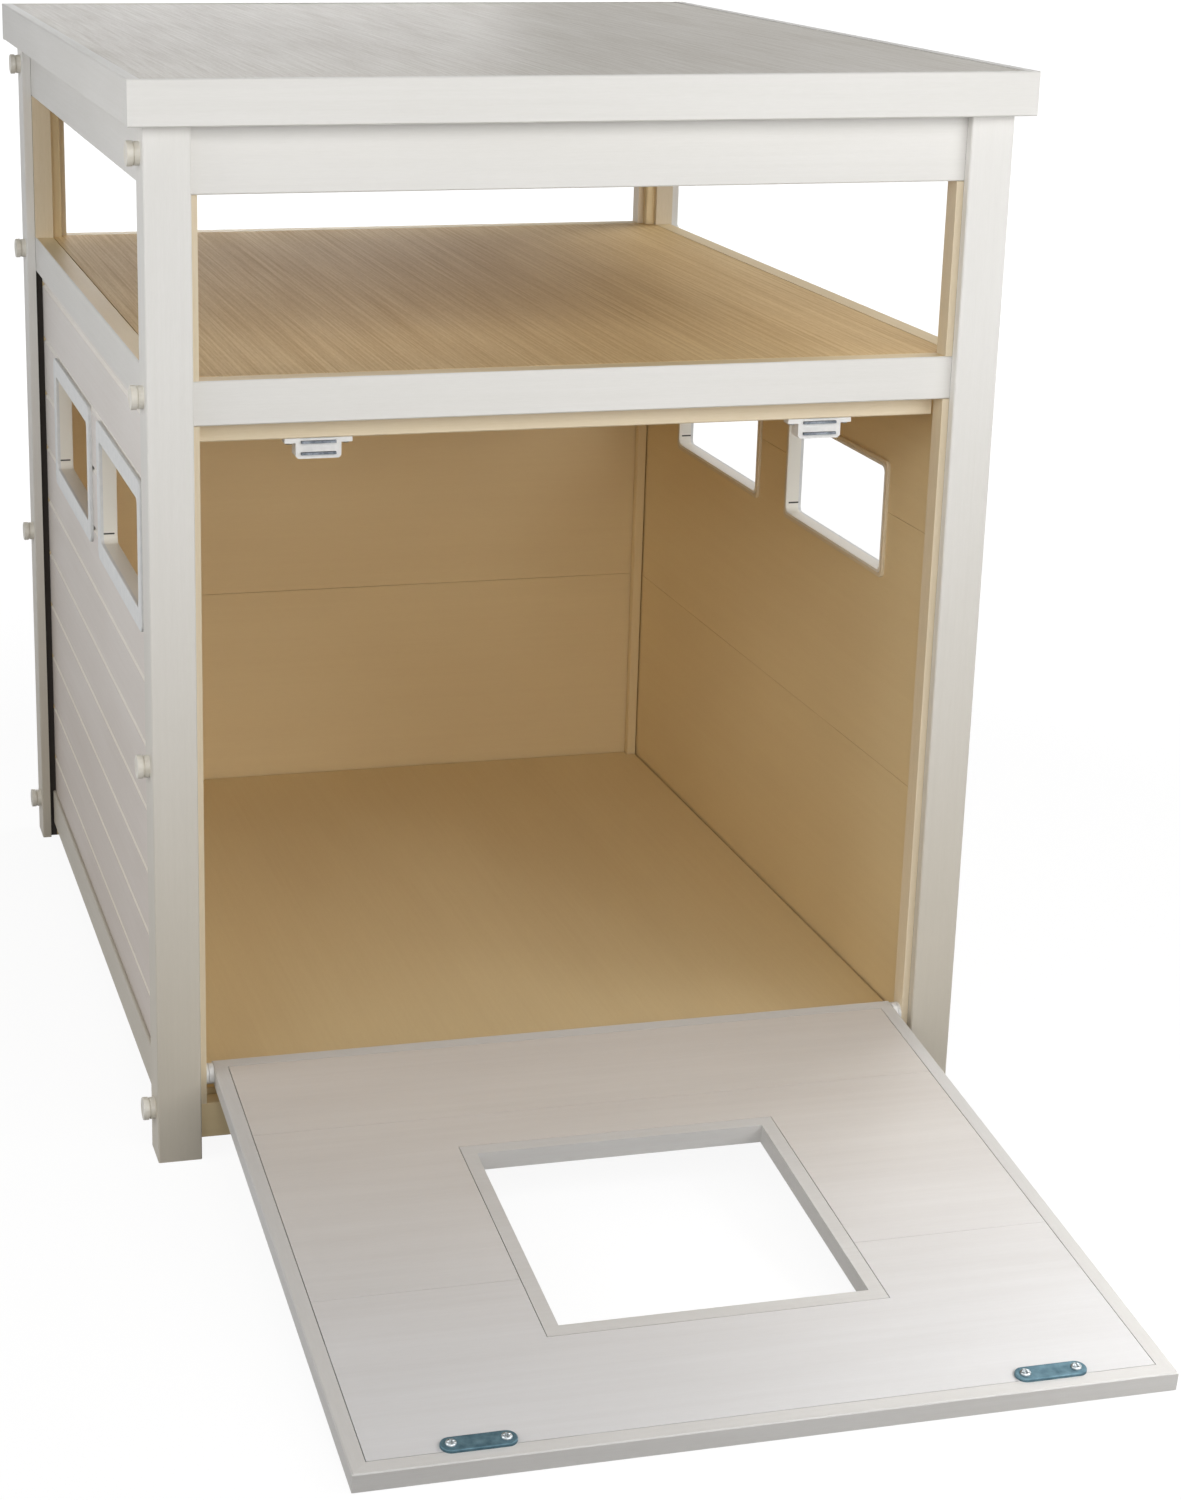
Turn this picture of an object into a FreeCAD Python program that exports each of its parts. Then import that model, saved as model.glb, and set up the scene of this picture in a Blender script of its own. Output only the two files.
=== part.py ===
import FreeCAD, Part
import math
import os
import re
import Sketcher

# Litter box enclosure: an end table on four grooved posts with an open shelf above and a closed
# compartment below, whose door folds down on pivot pins. Millimetres, +Z up, door towards -Y.
# The origin is the middle of the footprint, with the door lying open on the floor.

# Driving sizes: name, millimetres, meaning
SIZES = (
    ("top_width", 620.0, "outer width of the table top"),
    ("top_depth", 746.0, "outer depth of the table top"),
    ("overall_height", 752.0, "floor to the upper rim of the table top"),
    ("fit_gap", 0.2, "clearance between pieces that seat in each other"),
    ("running_gap", 0.06, "radial clearance of pins and pegs in their bores"),
    ("seam_gap", 0.6, "visible seam between the door's boards and their edging"),
    ("joint_gap", 0.35, "visible seam between two boards"),
    ("panel_gap", 0.5, "visible seam round the top panel"),
    ("deck_gap", 1.0, "clearance round the shelf and floor panels"),
    ("edge_chamfer", 0.8, "broken edge of posts, rails and edging"),
    ("apron_height", 30.0, "height of the edging round the table top"),
    ("apron_depth", 10.5, "thickness of the edging under the top panel"),
    ("side_rim", 8.3, "upper rim of the side edging, beside the top panel"),
    ("end_rim", 2.5, "upper rim of the front and rear edging"),
    ("rim_drop", 0.5, "top panel below the rim of the edging"),
    ("top_panel_thickness", 12.0, "thickness of the top panel"),
    ("post_inset", 11.0, "overhang of the table top past the posts"),
    ("post_width", 31.0, "side of the square posts"),
    ("groove_start", 7.5, "outer face of a post to its groove"),
    ("groove_width", 15.5, "width of the post's grooves"),
    ("groove_depth", 5.0, "depth of the post's grooves"),
    ("top_rail_height", 62.5, "height of the rails under the table top"),
    ("shelf_height", 556.0, "floor to the upper face of the shelf"),
    ("shelf_rail_height", 30.0, "height of the shelf's rails"),
    ("shelf_thickness", 12.0, "thickness of the shelf panel"),
    ("ledge_height", 12.0, "thickness of the ledges that carry the panels"),
    ("rail_base", 13.0, "floor to the bottom rails"),
    ("sill_height", 39.0, "floor to the upper face of the bottom front rail"),
    ("floor_height", 44.0, "floor to the upper face of the floor panel"),
    ("floor_thickness", 12.0, "thickness of the floor panel"),
    ("board_thickness", 8.5, "thickness of the wall boards"),
    ("board_slack", 1.0, "wall boards behind the inner wall of their grooves"),
    ("board_base", 28.6, "floor to the lower edge of the lowest wall board"),
    ("groove_pitch", 48.6, "distance between the V-grooves of the boards"),
    ("board_lap", 11.0, "depth of the rebate over the upper wall boards"),
    ("lip_width", 2.4, "outer lip of the bottom rails in front of the boards"),
    ("vee_depth", 2.5, "depth of the V-grooves"),
    ("tongue_width", 2.6, "thickness of the tongues between wall boards"),
    ("tongue_length", 6.0, "height of the tongues between wall boards"),
    ("window_length", 227.0, "outer length of a window's edging"),
    ("window_height", 109.5, "outer height of a window's edging"),
    ("window_drop", 61.4, "upper board joint to the lower edge of a window's edging"),
    ("window_distance", 270.0, "between the centres of the two windows in a wall"),
    ("window_round", 8.0, "outer corner radius of a window's edging"),
    ("window_border", 15.0, "visible border of a window's edging"),
    ("window_lip", 2.5, "thickness of the edging's lips on the boards"),
    ("window_lip_width", 12.8, "width of the edging's outer lip on the boards"),
    ("window_ring_width", 3.0, "width of its inner ring on the boards"),
    ("window_ring_round", 5.0, "outer corner radius of the inner ring"),
    ("strip_proud", 5.0, "filler strips stand out of the post"),
    ("peg_head_radius", 8.2, "head of a locking peg"),
    ("peg_collar_radius", 7.8, "collar of a locking peg"),
    ("peg_collar_length", 4.0, "length of the peg's collar"),
    ("peg_head_length", 4.5, "length of the peg's head"),
    ("peg_shank_width", 4.8, "side of a locking peg's square shank"),
    ("peg_shank_length", 30.5, "length of the peg's shank under the collar"),
    ("peg_line", 17.5, "outer post face to the pegs' centre line"),
    ("peg_sink", 4.2, "depth that the right-hand pegs are sunk into their posts"),
    ("peg_bore_depth", 35.0, "outer post face to the end of a peg's bore"),
    ("peg_low", 35.0, "floor to the lowest pegs"),
    ("peg_middle", 290.0, "floor to the pegs at mid height"),
    ("peg_shelf_drop", 11.0, "upper face of the shelf down to its pegs"),
    ("peg_top_rise", 26.0, "lower edge of the top rails up to their pegs"),
    ("door_side_gap", 5.6, "side of the door to the filler strips"),
    ("door_reach", 458.0, "pivot axis to the free edge of the door"),
    ("door_heel", 6.0, "pivot axis to the lower edge of the door"),
    ("door_thickness", 13.5, "thickness of the door"),
    ("door_face_gap", 0.3, "closed door behind the front of its strips"),
    ("pivot_height", 59.0, "floor to the door's pivot axis"),
    ("door_edging", 10.0, "visible width of the door's edging"),
    ("door_tongue", 5.0, "thickness of the tongues in the door"),
    ("door_tongue_length", 5.2, "length of the tongues in the door"),
    ("first_seam", 96.6, "pivot axis to the door's first board joint"),
    ("entrance_width", 204.0, "clear width of the entrance"),
    ("entrance_low", 145.0, "pivot axis to the near side of the entrance"),
    ("entrance_length", 197.4, "clear length of the entrance along the door"),
    ("entrance_border", 9.8, "visible border of the entrance's edging"),
    ("entrance_tongue", 4.0, "tongue of the entrance's edging in the boards"),
    ("strike_inset", 14.5, "free edge of the door to the centre line of the strike plates"),
    ("catch_inset", 119.7, "outer post face to the centre of a catch"),
    ("strike_length", 46.4, "length of a strike plate"),
    ("strike_width", 13.0, "width of a strike plate"),
    ("strike_round", 6.4, "end radius of a strike plate"),
    ("strike_thickness", 2.0, "thickness of a strike plate"),
    ("batten_height", 20.0, "height of the catch batten"),
    ("batten_depth", 15.2, "depth of the catch batten"),
    ("batten_gap", 1.0, "ends of the catch batten to the filler strips"),
    ("catch_gap", 0.3, "closed strike plates to the pole plates"),
    ("catch_body_width", 31.4, "width of the catch's body"),
    ("catch_width", 46.6, "width of the catch over its ears"),
    ("catch_height", 14.4, "height of the catch"),
    ("catch_depth", 13.0, "depth of the catch"),
    ("catch_ear_height", 3.6, "thickness of the catch's ears"),
    ("catch_ear_depth", 9.0, "depth of the catch's ears"),
    ("catch_round", 1.8, "cut lower corners of the catch's body"),
    ("pole_length", 24.0, "length of the catch's pole plates"),
    ("pole_thickness", 1.6, "thickness of the pole plates"),
    ("pole_low", 2.8, "underside of the catch to the lower pole plate"),
    ("pole_pitch", 7.8, "between the two pole plates"),
    ("pole_depth", 12.5, "depth of the pole plates"),
    ("pole_proud", 1.8, "pole plates stand out of the catch's body"),
    ("magnet_depth", 8.0, "depth of the magnets"),
    ("pivot_radius", 3.0, "radius of the pivot pins"),
    ("pivot_root", 15.0, "length of the pin behind its flange"),
    ("pivot_flange_radius", 7.4, "flange of pins and bushes"),
    ("pivot_flange", 1.9, "thickness of the pin's flange"),
    ("pivot_reach", 7.7, "length that the pin reaches in front of its flange"),
    ("bush_radius", 4.5, "sleeve of the door's bushes"),
    ("bush_length", 4.4, "length of the bush's sleeve"),
)

# Lengths worked out from the driving sizes
DERIVED = {
    "cabinet_width": "top_width - 2 * post_inset",
    "cabinet_depth": "top_depth - 2 * post_inset",
    "post_top": "overall_height - rim_drop - top_panel_thickness",
    "groove_floor": "post_width - groove_depth",
    "groove_end": "groove_start + groove_width",
    "inner_plane": "groove_end - fit_gap",
    "rail_plane": "groove_start + fit_gap",
    "rail_start": "groove_floor + fit_gap",
    "board_face": "inner_plane - board_slack",
    "board_plane": "board_face - board_thickness",
    "lip_plane": "board_plane - fit_gap - lip_width",
    "board_pitch": "4 * groove_pitch",
    "window_base": "board_base + 2 * board_pitch - window_drop",
    "top_rail_base": "post_top - top_rail_height",
    "shelf_rail_base": "shelf_height - shelf_rail_height",
    "board_top": "shelf_rail_base + board_lap - fit_gap",
    "shelf_seat": "shelf_height - shelf_thickness",
    "floor_seat": "floor_height - floor_thickness",
    "apron_seat": "apron_height - rim_drop - top_panel_thickness",
    "strip_face": "post_width + strip_proud",
    "peg_shelf": "shelf_height - peg_shelf_drop",
    "peg_top": "top_rail_base + peg_top_rise",
    "peg_stand": "peg_collar_length + peg_head_length",
    "door_width": "cabinet_width - 2 * (strip_face + door_side_gap)",
    "batten_length": "cabinet_width - 2 * (strip_face + batten_gap)",
    "catch_distance": "cabinet_width - 2 * catch_inset",
    "pivot_line": "rail_plane + door_face_gap + door_thickness / 2",
    "door_contact": "door_reach - edge_chamfer",
    "door_tilt": "asin(pivot_height / hypot(door_contact; door_thickness / 2))"
                 " - atan(door_thickness / 2 / (door_contact))",
    "door_front": "post_inset + pivot_line - door_reach * cos(door_tilt)"
                  " - (door_thickness / 2 - edge_chamfer) * sin(door_tilt)",
    "origin_line": "(top_depth + door_front) / 2",
    "door_length": "door_reach + door_heel",
    "door_middle": "door_thickness / 2",
    "door_slot": "door_tongue + 2 * fit_gap",
    "door_slot_depth": "door_tongue_length + fit_gap",
    "near_seam": "door_reach - first_seam - board_pitch",
    "far_seam": "door_reach - first_seam",
    "closed_inner_face": "pivot_line + door_thickness / 2",
    "catch_face": "closed_inner_face + strike_thickness + catch_gap",
    "housing_face": "catch_face + pole_proud",
    "batten_base": "shelf_seat - ledge_height - batten_height",
    "bush_flange": "door_side_gap - pivot_flange - door_face_gap",
}

SHEET_NAME = "Sizes"
ALIASES = {name for name, value, note in SIZES}

DOC = FreeCAD.newDocument("litter_box_enclosure")
SHEET = DOC.addObject("Spreadsheet::Sheet", SHEET_NAME)
NODES = []
CUTS = []


def fill_sheet():
    """Write the driving sizes into the spreadsheet, one row and one alias each."""
    for row, (name, value, note) in enumerate(SIZES, start=1):
        SHEET.set("A%d" % row, name)
        SHEET.set("B%d" % row, str(value))
        SHEET.setAlias("B%d" % row, name)
        SHEET.set("C%d" % row, note)
    DOC.recompute()


def formula(text):
    """Return the expression for a length written with the names of SIZES and DERIVED."""
    def expand(match):
        name = match.group(0)
        if name in DERIVED:
            return "(" + formula(DERIVED[name]) + ")"
        if name in ALIASES:
            return SHEET_NAME + "." + name
        return name
    return re.sub(r"[a-z][a-z_]*", expand, text)


def measure(text):
    """Return the present value of a formula as a plain number."""
    result = SHEET.evalExpression(formula(text))
    return float(getattr(result, "Value", result))


def new_body(label):
    body = DOC.addObject("PartDesign::Body", label)
    body.Label = label
    return body


def new_sketch(body, role, offset=None):
    """Add a sketch on one of the body's own origin planes, moved along its normal by offset."""
    plane = next(item for item in body.Origin.OriginFeatures if item.Role == role)
    sketch = body.newObject("Sketcher::SketchObject", "Sketch")
    sketch.AttachmentSupport = [(plane, "")]
    sketch.MapMode = "FlatFace"
    if offset is not None:
        sketch.setExpression("AttachmentOffset.Base.z", formula(offset))
    return sketch


def pin(sketch, edge, point, x, y):
    """Tie one point of a sketch to its two coordinates from the sketch's origin."""
    for kind, axis, text in (("DistanceX", -2, x), ("DistanceY", -1, y)):
        if text == "0":
            sketch.addConstraint(Sketcher.Constraint("PointOnObject", edge, point, axis))
        else:
            rule = Sketcher.Constraint(kind, -1, 1, edge, point, measure(text))
            number = sketch.addConstraint(rule)
            sketch.setExpression("Constraints[%d]" % number, formula(text))


def draw_polygon(sketch, corners):
    """Draw a closed outline through corners, each a pair of formulas."""
    spots = [FreeCAD.Vector(measure(x), measure(y), 0) for x, y in corners]
    first = sketch.GeometryCount
    for start, end in zip(spots, spots[1:] + spots[:1]):
        sketch.addGeometry(Part.LineSegment(start, end), False)
    for number in range(len(corners)):
        following = (number + 1) % len(corners)
        sketch.addConstraint(
            Sketcher.Constraint("Coincident", first + number, 2, first + following, 1))
    for number, (x, y) in enumerate(corners):
        pin(sketch, first + number, 1, x, y)


def draw_box(sketch, left, low, right, high):
    draw_polygon(sketch, [(left, low), (right, low), (right, high), (left, high)])


def draw_circle(sketch, x, y, radius):
    circle = Part.Circle(
        FreeCAD.Vector(measure(x), measure(y), 0), FreeCAD.Vector(0, 0, 1), measure(radius))
    edge = sketch.addGeometry(circle, False)
    pin(sketch, edge, 3, x, y)
    number = sketch.addConstraint(Sketcher.Constraint("Radius", edge, measure(radius)))
    sketch.setExpression("Constraints[%d]" % number, formula(radius))


def draw_rounded_box(sketch, left, low, right, high, radius):
    """Draw a rectangle whose corners are arcs of one radius."""
    sides = (
        (("%s + %s" % (left, radius), low), ("%s - (%s)" % (right, radius), low)),
        ((right, "%s + %s" % (low, radius)), (right, "%s - (%s)" % (high, radius))),
        (("%s - (%s)" % (right, radius), high), ("%s + %s" % (left, radius), high)),
        ((left, "%s - (%s)" % (high, radius)), (left, "%s + %s" % (low, radius))),
    )
    centres = ((right, -1, low, 1), (right, -1, high, -1), (left, 1, high, -1), (left, 1, low, 1))
    size = measure(radius)
    first = sketch.GeometryCount
    for start, end in sides:
        sketch.addGeometry(Part.LineSegment(
            FreeCAD.Vector(measure(start[0]), measure(start[1]), 0),
            FreeCAD.Vector(measure(end[0]), measure(end[1]), 0)), False)
    for number, (x, step_x, y, step_y) in enumerate(centres):
        middle = FreeCAD.Vector(measure(x) + step_x * size, measure(y) + step_y * size, 0)
        circle = Part.Circle(middle, FreeCAD.Vector(0, 0, 1), size)
        begin = math.radians(-90 + 90 * number)
        sketch.addGeometry(Part.ArcOfCircle(circle, begin, begin + math.pi / 2), False)
    for number, (start, end) in enumerate(sides):
        arc = first + 4 + number
        following = first + (number + 1) % 4
        pin(sketch, first + number, 1, *start)
        pin(sketch, first + number, 2, *end)
        sketch.addConstraint(Sketcher.Constraint("Coincident", first + number, 2, arc, 1))
        sketch.addConstraint(Sketcher.Constraint("Coincident", arc, 2, following, 1))
        rule = sketch.addConstraint(Sketcher.Constraint("Radius", arc, size))
        sketch.setExpression("Constraints[%d]" % rule, formula(radius))


def add_pad(body, sketch, length, reverse=False):
    pad = body.newObject("PartDesign::Pad", "Pad")
    pad.Profile = sketch
    pad.Reversed = reverse
    pad.setExpression("Length", formula(length))
    return pad


def add_pocket(body, sketch, depth=None, reverse=False):
    """Cut a sketch out of the body, to a depth or, with none given, right through."""
    pocket = body.newObject("PartDesign::Pocket", "Pocket")
    pocket.Profile = sketch
    pocket.Reversed = reverse
    if depth is None:
        pocket.Type = "ThroughAll"
    else:
        pocket.setExpression("Length", formula(depth))
    CUTS.append(pocket)
    return pocket


def add_revolution(body, sketch, axis):
    turn = body.newObject("PartDesign::Revolution", "Revolution")
    turn.Profile = sketch
    turn.ReferenceAxis = (sketch, [axis])
    turn.Angle = 360
    return turn


def place(item, x, y, z, turn=0):
    """Place an item from the cabinet's front centre on the floor, turned about the vertical."""
    item.Placement = FreeCAD.Placement(
        FreeCAD.Vector(0, 0, 0), FreeCAD.Rotation(FreeCAD.Vector(0, 0, 1), turn))
    item.setExpression("Placement.Base.x", formula(x))
    item.setExpression("Placement.Base.y", formula("%s - origin_line" % y))
    item.setExpression("Placement.Base.z", formula(z))


# Each side of the cabinet: turn, outer post corner, inward step and step along the side
SIDES = {
    "left": (0, "-cabinet_width / 2", "post_inset", (1, 0), (0, 1)),
    "front": (90, "cabinet_width / 2", "post_inset", (0, 1), (-1, 0)),
    "right": (180, "cabinet_width / 2", "top_depth - post_inset", (-1, 0), (0, -1)),
    "rear": (-90, "-cabinet_width / 2", "top_depth - post_inset", (0, -1), (1, 0)),
}


def side_length(side):
    return "cabinet_depth" if side in ("left", "right") else "cabinet_width"


def place_on_side(item, side, inward, along, height):
    """Place an item whose local X runs inwards from the posts' outer face and local Y along it."""
    turn, x, y, step_in, step_along = SIDES[side]
    place(item,
          "%s + %d * (%s) + %d * (%s)" % (x, step_in[0], inward, step_along[0], along),
          "%s + %d * (%s) + %d * (%s)" % (y, step_in[1], inward, step_along[1], along),
          height, turn)


def place_on_door(item, x, y, z):
    """Place an item from the door's outer left corner at its free edge, lying open on the floor."""
    item.Placement = FreeCAD.Placement(
        FreeCAD.Vector(0, 0, 0), FreeCAD.Rotation(FreeCAD.Vector(1, 0, 0), 1))
    across = "(%s - door_reach)" % y
    up = "(%s - door_middle)" % z
    item.setExpression("Placement.Base.x", formula("%s - door_width / 2" % x))
    item.setExpression("Placement.Base.y", formula(
        "post_inset + pivot_line - origin_line + %s * cos(door_tilt) - %s * sin(door_tilt)"
        % (across, up)))
    item.setExpression("Placement.Base.z", formula(
        "pivot_height + %s * sin(door_tilt) + %s * cos(door_tilt)" % (across, up)))
    item.setExpression("Placement.Rotation.Angle", formula("door_tilt"))


def keep(item):
    NODES.append(item)
    return item


def group(label, items):
    """Join like pieces, each a solid of its own, in one sub-part."""
    compound = DOC.addObject("Part::Compound", label)
    compound.Label = label
    compound.Links = items
    return keep(compound)


PEG_HEIGHTS = ("peg_low", "peg_middle", "peg_shelf", "peg_top")


def draw_peg_bore(sketch, x, y):
    half = "(peg_shank_width / 2 + running_gap)"
    draw_box(sketch, "%s - %s" % (x, half), "%s - %s" % (y, half), "%s + %s" % (x, half),
             "%s + %s" % (y, half))


def make_post(name, side, bores_along_x, sunk):
    """Square post with a groove in each inward face and bores for the pegs and the pivot pin."""
    body = new_body("post_" + name)
    broken = "edge_chamfer"
    far = "post_width - edge_chamfer"
    section = new_sketch(body, "XY_Plane")
    draw_polygon(section, [
        (broken, "0"), (far, "0"), ("post_width", broken), ("post_width", "groove_start"),
        ("groove_floor", "groove_start"), ("groove_floor", "groove_end"),
        ("post_width", "groove_end"), ("post_width", far), (far, "post_width"),
        ("groove_end", "post_width"), ("groove_end", "groove_floor"),
        ("groove_start", "groove_floor"), ("groove_start", "post_width"),
        (broken, "post_width"), ("0", far), ("0", broken)])
    add_pad(body, section, "post_top")
    role = "YZ_Plane" if bores_along_x else "XZ_Plane"
    bores = new_sketch(body, role)
    for height in PEG_HEIGHTS:
        draw_peg_bore(bores, "peg_line", height)
    add_pocket(body, bores, reverse=bores_along_x)
    if sunk:
        sinks = new_sketch(body, role)
        for height in PEG_HEIGHTS:
            draw_circle(sinks, "peg_line", height, "peg_head_radius + fit_gap")
        add_pocket(body, sinks, "peg_sink", reverse=bores_along_x)
    if name.startswith("front"):
        pivot = new_sketch(body, role, "post_width" if bores_along_x else "-post_width")
        draw_circle(pivot, "pivot_line", "pivot_height", "pivot_radius + running_gap")
        add_pocket(body, pivot, "pivot_root - strip_proud + fit_gap", reverse=not bores_along_x)
    place_on_side(body, side, "0", "0", "0")
    keep(body)


def make_posts():
    make_post("front_left", "left", True, False)
    make_post("front_right", "front", False, True)
    make_post("rear_right", "right", True, True)
    make_post("rear_left", "rear", False, False)


def bore_ends(body, length, height):
    """Bore both ends of a piece for the pegs that lock it in the posts."""
    for offset, reverse in (("0", False), ("-(%s)" % length, True)):
        bore = new_sketch(body, "XZ_Plane", offset)
        draw_peg_bore(bore, "peg_line", height)
        add_pocket(body, bore, "peg_bore_depth - rail_start", reverse=reverse)


def make_rail(label, side, outline, base, peg_height=None, ledge=True):
    """Rail of the given section that runs from post to post with its ends in their grooves."""
    body = new_body(label)
    section = new_sketch(body, "XZ_Plane")
    draw_polygon(section, outline)
    length = side_length(side) + " - 2 * rail_start"
    add_pad(body, section, length, reverse=True)
    if ledge:
        corner = "post_width + fit_gap - rail_start"
        notches = new_sketch(body, "XY_Plane")
        draw_box(notches, "inner_plane", "0", "post_width + 1", corner)
        draw_box(notches, "inner_plane", "%s - (%s)" % (length, corner), "post_width + 1", length)
        add_pocket(body, notches, reverse=True)
    if peg_height is not None and side in ("front", "rear"):
        bore_ends(body, length, "%s - (%s)" % (peg_height, base))
    place_on_side(body, side, "0", "rail_start", base)
    keep(body)


def top_rail_section():
    height = "post_top - top_rail_base"
    return [("rail_plane + edge_chamfer", "0"), ("inner_plane - edge_chamfer", "0"),
            ("inner_plane", "edge_chamfer"), ("inner_plane", height), ("rail_plane", height),
            ("rail_plane", "edge_chamfer")]


def shelf_rail_section(side):
    """Rail with a ledge for the shelf and, over a wall, a rebate for the boards' upper edge."""
    seat = "shelf_seat - shelf_rail_base"
    low = "shelf_seat - ledge_height - shelf_rail_base"
    outer = [("rail_plane", "edge_chamfer"), ("rail_plane + edge_chamfer", "0")]
    if side == "front":
        under = [("inner_plane", "0"), ("inner_plane", low)]
    else:
        lip = "board_plane - fit_gap"
        under = [(lip, "0"), (lip, "board_lap"), ("inner_plane + fit_gap", "board_lap"),
                 ("inner_plane + fit_gap", low)]
    inner = [("post_width", low), ("post_width", seat), ("inner_plane", seat),
             ("inner_plane", "shelf_rail_height"),
             ("rail_plane + edge_chamfer", "shelf_rail_height"),
             ("rail_plane", "shelf_rail_height - edge_chamfer")]
    return outer + under + inner


def bottom_rail_section(side):
    """Rail with a ledge for the floor and, under a wall, a rebate for the boards' lower edge."""
    seat = "floor_seat - rail_base"
    low = "floor_seat - ledge_height - rail_base"
    ledge = [("inner_plane", "0"), ("inner_plane", low), ("post_width", low), ("post_width", seat)]
    if side == "front":
        top = "sill_height - rail_base"
        front = [("rail_plane", "edge_chamfer"), ("rail_plane + edge_chamfer", "0")]
        back = [("inner_plane", seat), ("inner_plane", top), ("rail_plane + edge_chamfer", top),
                ("rail_plane", "sill_height - rail_base - edge_chamfer")]
        return front + ledge + back
    top = "floor_height - rail_base"
    rest = "board_base - rail_base"
    lip = "board_plane - fit_gap"
    front = [("lip_plane", "edge_chamfer"), ("lip_plane + edge_chamfer", "0")]
    back = [("inner_plane + fit_gap", seat), ("inner_plane + fit_gap", rest), (lip, rest),
            (lip, top), ("lip_plane + edge_chamfer", top),
            ("lip_plane", "floor_height - rail_base - edge_chamfer")]
    return front + ledge + back


def make_rails():
    for side in SIDES:
        make_rail("top_rail_" + side, side, top_rail_section(), "top_rail_base", "peg_top", False)
        make_rail("shelf_rail_" + side, side, shelf_rail_section(side), "shelf_rail_base",
                  "peg_shelf")
        lowest = "peg_low" if side == "front" else None
        make_rail("bottom_rail_" + side, side, bottom_rail_section(side), "rail_base", lowest)


def board_section(course):
    """Section of a wall board: V-grooves outside, a tongue above and a slot below."""
    outer, inner = "board_plane", "board_face"
    deep = "board_plane + vee_depth"
    middle = "(board_plane + board_face) / 2"
    reach = {"tongue": "tongue_width / 2", "slot": "(tongue_width / 2 + fit_gap)"}
    tongue = ["%s %s %s" % (middle, sign, reach["tongue"]) for sign in "-+"]
    slot = ["%s %s %s" % (middle, sign, reach["slot"]) for sign in "-+"]
    slot_top = "tongue_length + fit_gap"
    if course == 0:
        points = [(outer, "0"), (inner, "0")]
    else:
        points = [(outer, "vee_depth"), (deep, "0"), (slot[0], "0"), (slot[0], slot_top),
                  (slot[1], slot_top), (slot[1], "0"), (inner, "0")]
    if course < 2:
        top = "board_pitch"
        low = "board_pitch - joint_gap"
        tip = "board_pitch + tongue_length"
        points += [(inner, low), (tongue[1], low), (tongue[1], tip), (tongue[0], tip),
                   (tongue[0], top), (deep, top), (outer, "board_pitch - vee_depth")]
    else:
        top = "board_top - board_base - 2 * board_pitch"
        points += [(inner, top), (outer, top)]
    for number in range(3 if course < 2 else 2, 0, -1):
        points += [(outer, "%d * groove_pitch + vee_depth" % number),
                   (deep, "%d * groove_pitch" % number),
                   (outer, "%d * groove_pitch - vee_depth" % number)]
    return points


def cut_windows(body, course, length):
    """Cut the seats of both windows out of a middle or upper wall board."""
    base = "board_base + %d * board_pitch" % course
    seats = new_sketch(body, "YZ_Plane")
    inset = "(window_lip_width - fit_gap)"
    low = "window_base + %s - (%s)" % (inset, base) if course == 1 else "0"
    high = "board_pitch + tongue_length"
    if course == 2:
        high = "window_base + window_height - %s - (%s)" % (inset, base)
    for sign in "-+":
        centre = "(%s) / 2 %s window_distance / 2" % (length, sign)
        half = "(window_length / 2 - %s)" % inset
        draw_box(seats, "%s - %s" % (centre, half), low, "%s + %s" % (centre, half), high)
    add_pocket(body, seats, reverse=True)


def make_wall_board(label, side, course):
    """One tongue-and-groove board with its ends in the grooves of two posts."""
    body = new_body(label)
    section = new_sketch(body, "XZ_Plane")
    draw_polygon(section, board_section(course))
    length = side_length(side) + " - 2 * rail_start"
    base = "board_base + %d * board_pitch" % course
    add_pad(body, section, length, reverse=True)
    if side != "rear" and course > 0:
        cut_windows(body, course, length)
    if side == "rear" and course < 2:
        height = ("peg_low", "peg_middle")[course]
        bore_ends(body, length, "%s - (%s)" % (height, base))
    place_on_side(body, side, "0", "rail_start", base)
    keep(body)


def make_walls():
    for side in ("left", "right", "rear"):
        for course, name in enumerate(("lower", "middle", "upper")):
            make_wall_board("%s_board_%s" % (side, name), side, course)


def make_deck(label, top, thickness):
    """Panel that lies on the rails' ledges, notched round the four posts."""
    near, corner = "inner_plane + deck_gap", "post_width + deck_gap"
    right, right_corner = ["cabinet_width - (%s)" % item for item in (near, corner)]
    rear, rear_corner = ["cabinet_depth - (%s)" % item for item in (near, corner)]
    body = new_body(label)
    section = new_sketch(body, "XY_Plane")
    draw_polygon(section, [
        (corner, near), (right_corner, near), (right_corner, corner), (right, corner),
        (right, rear_corner), (right_corner, rear_corner), (right_corner, rear), (corner, rear),
        (corner, rear_corner), (near, rear_corner), (near, corner), (corner, corner)])
    add_pad(body, section, thickness)
    place(body, "-cabinet_width / 2", "post_inset", "%s - %s" % (top, thickness))
    keep(body)


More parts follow.
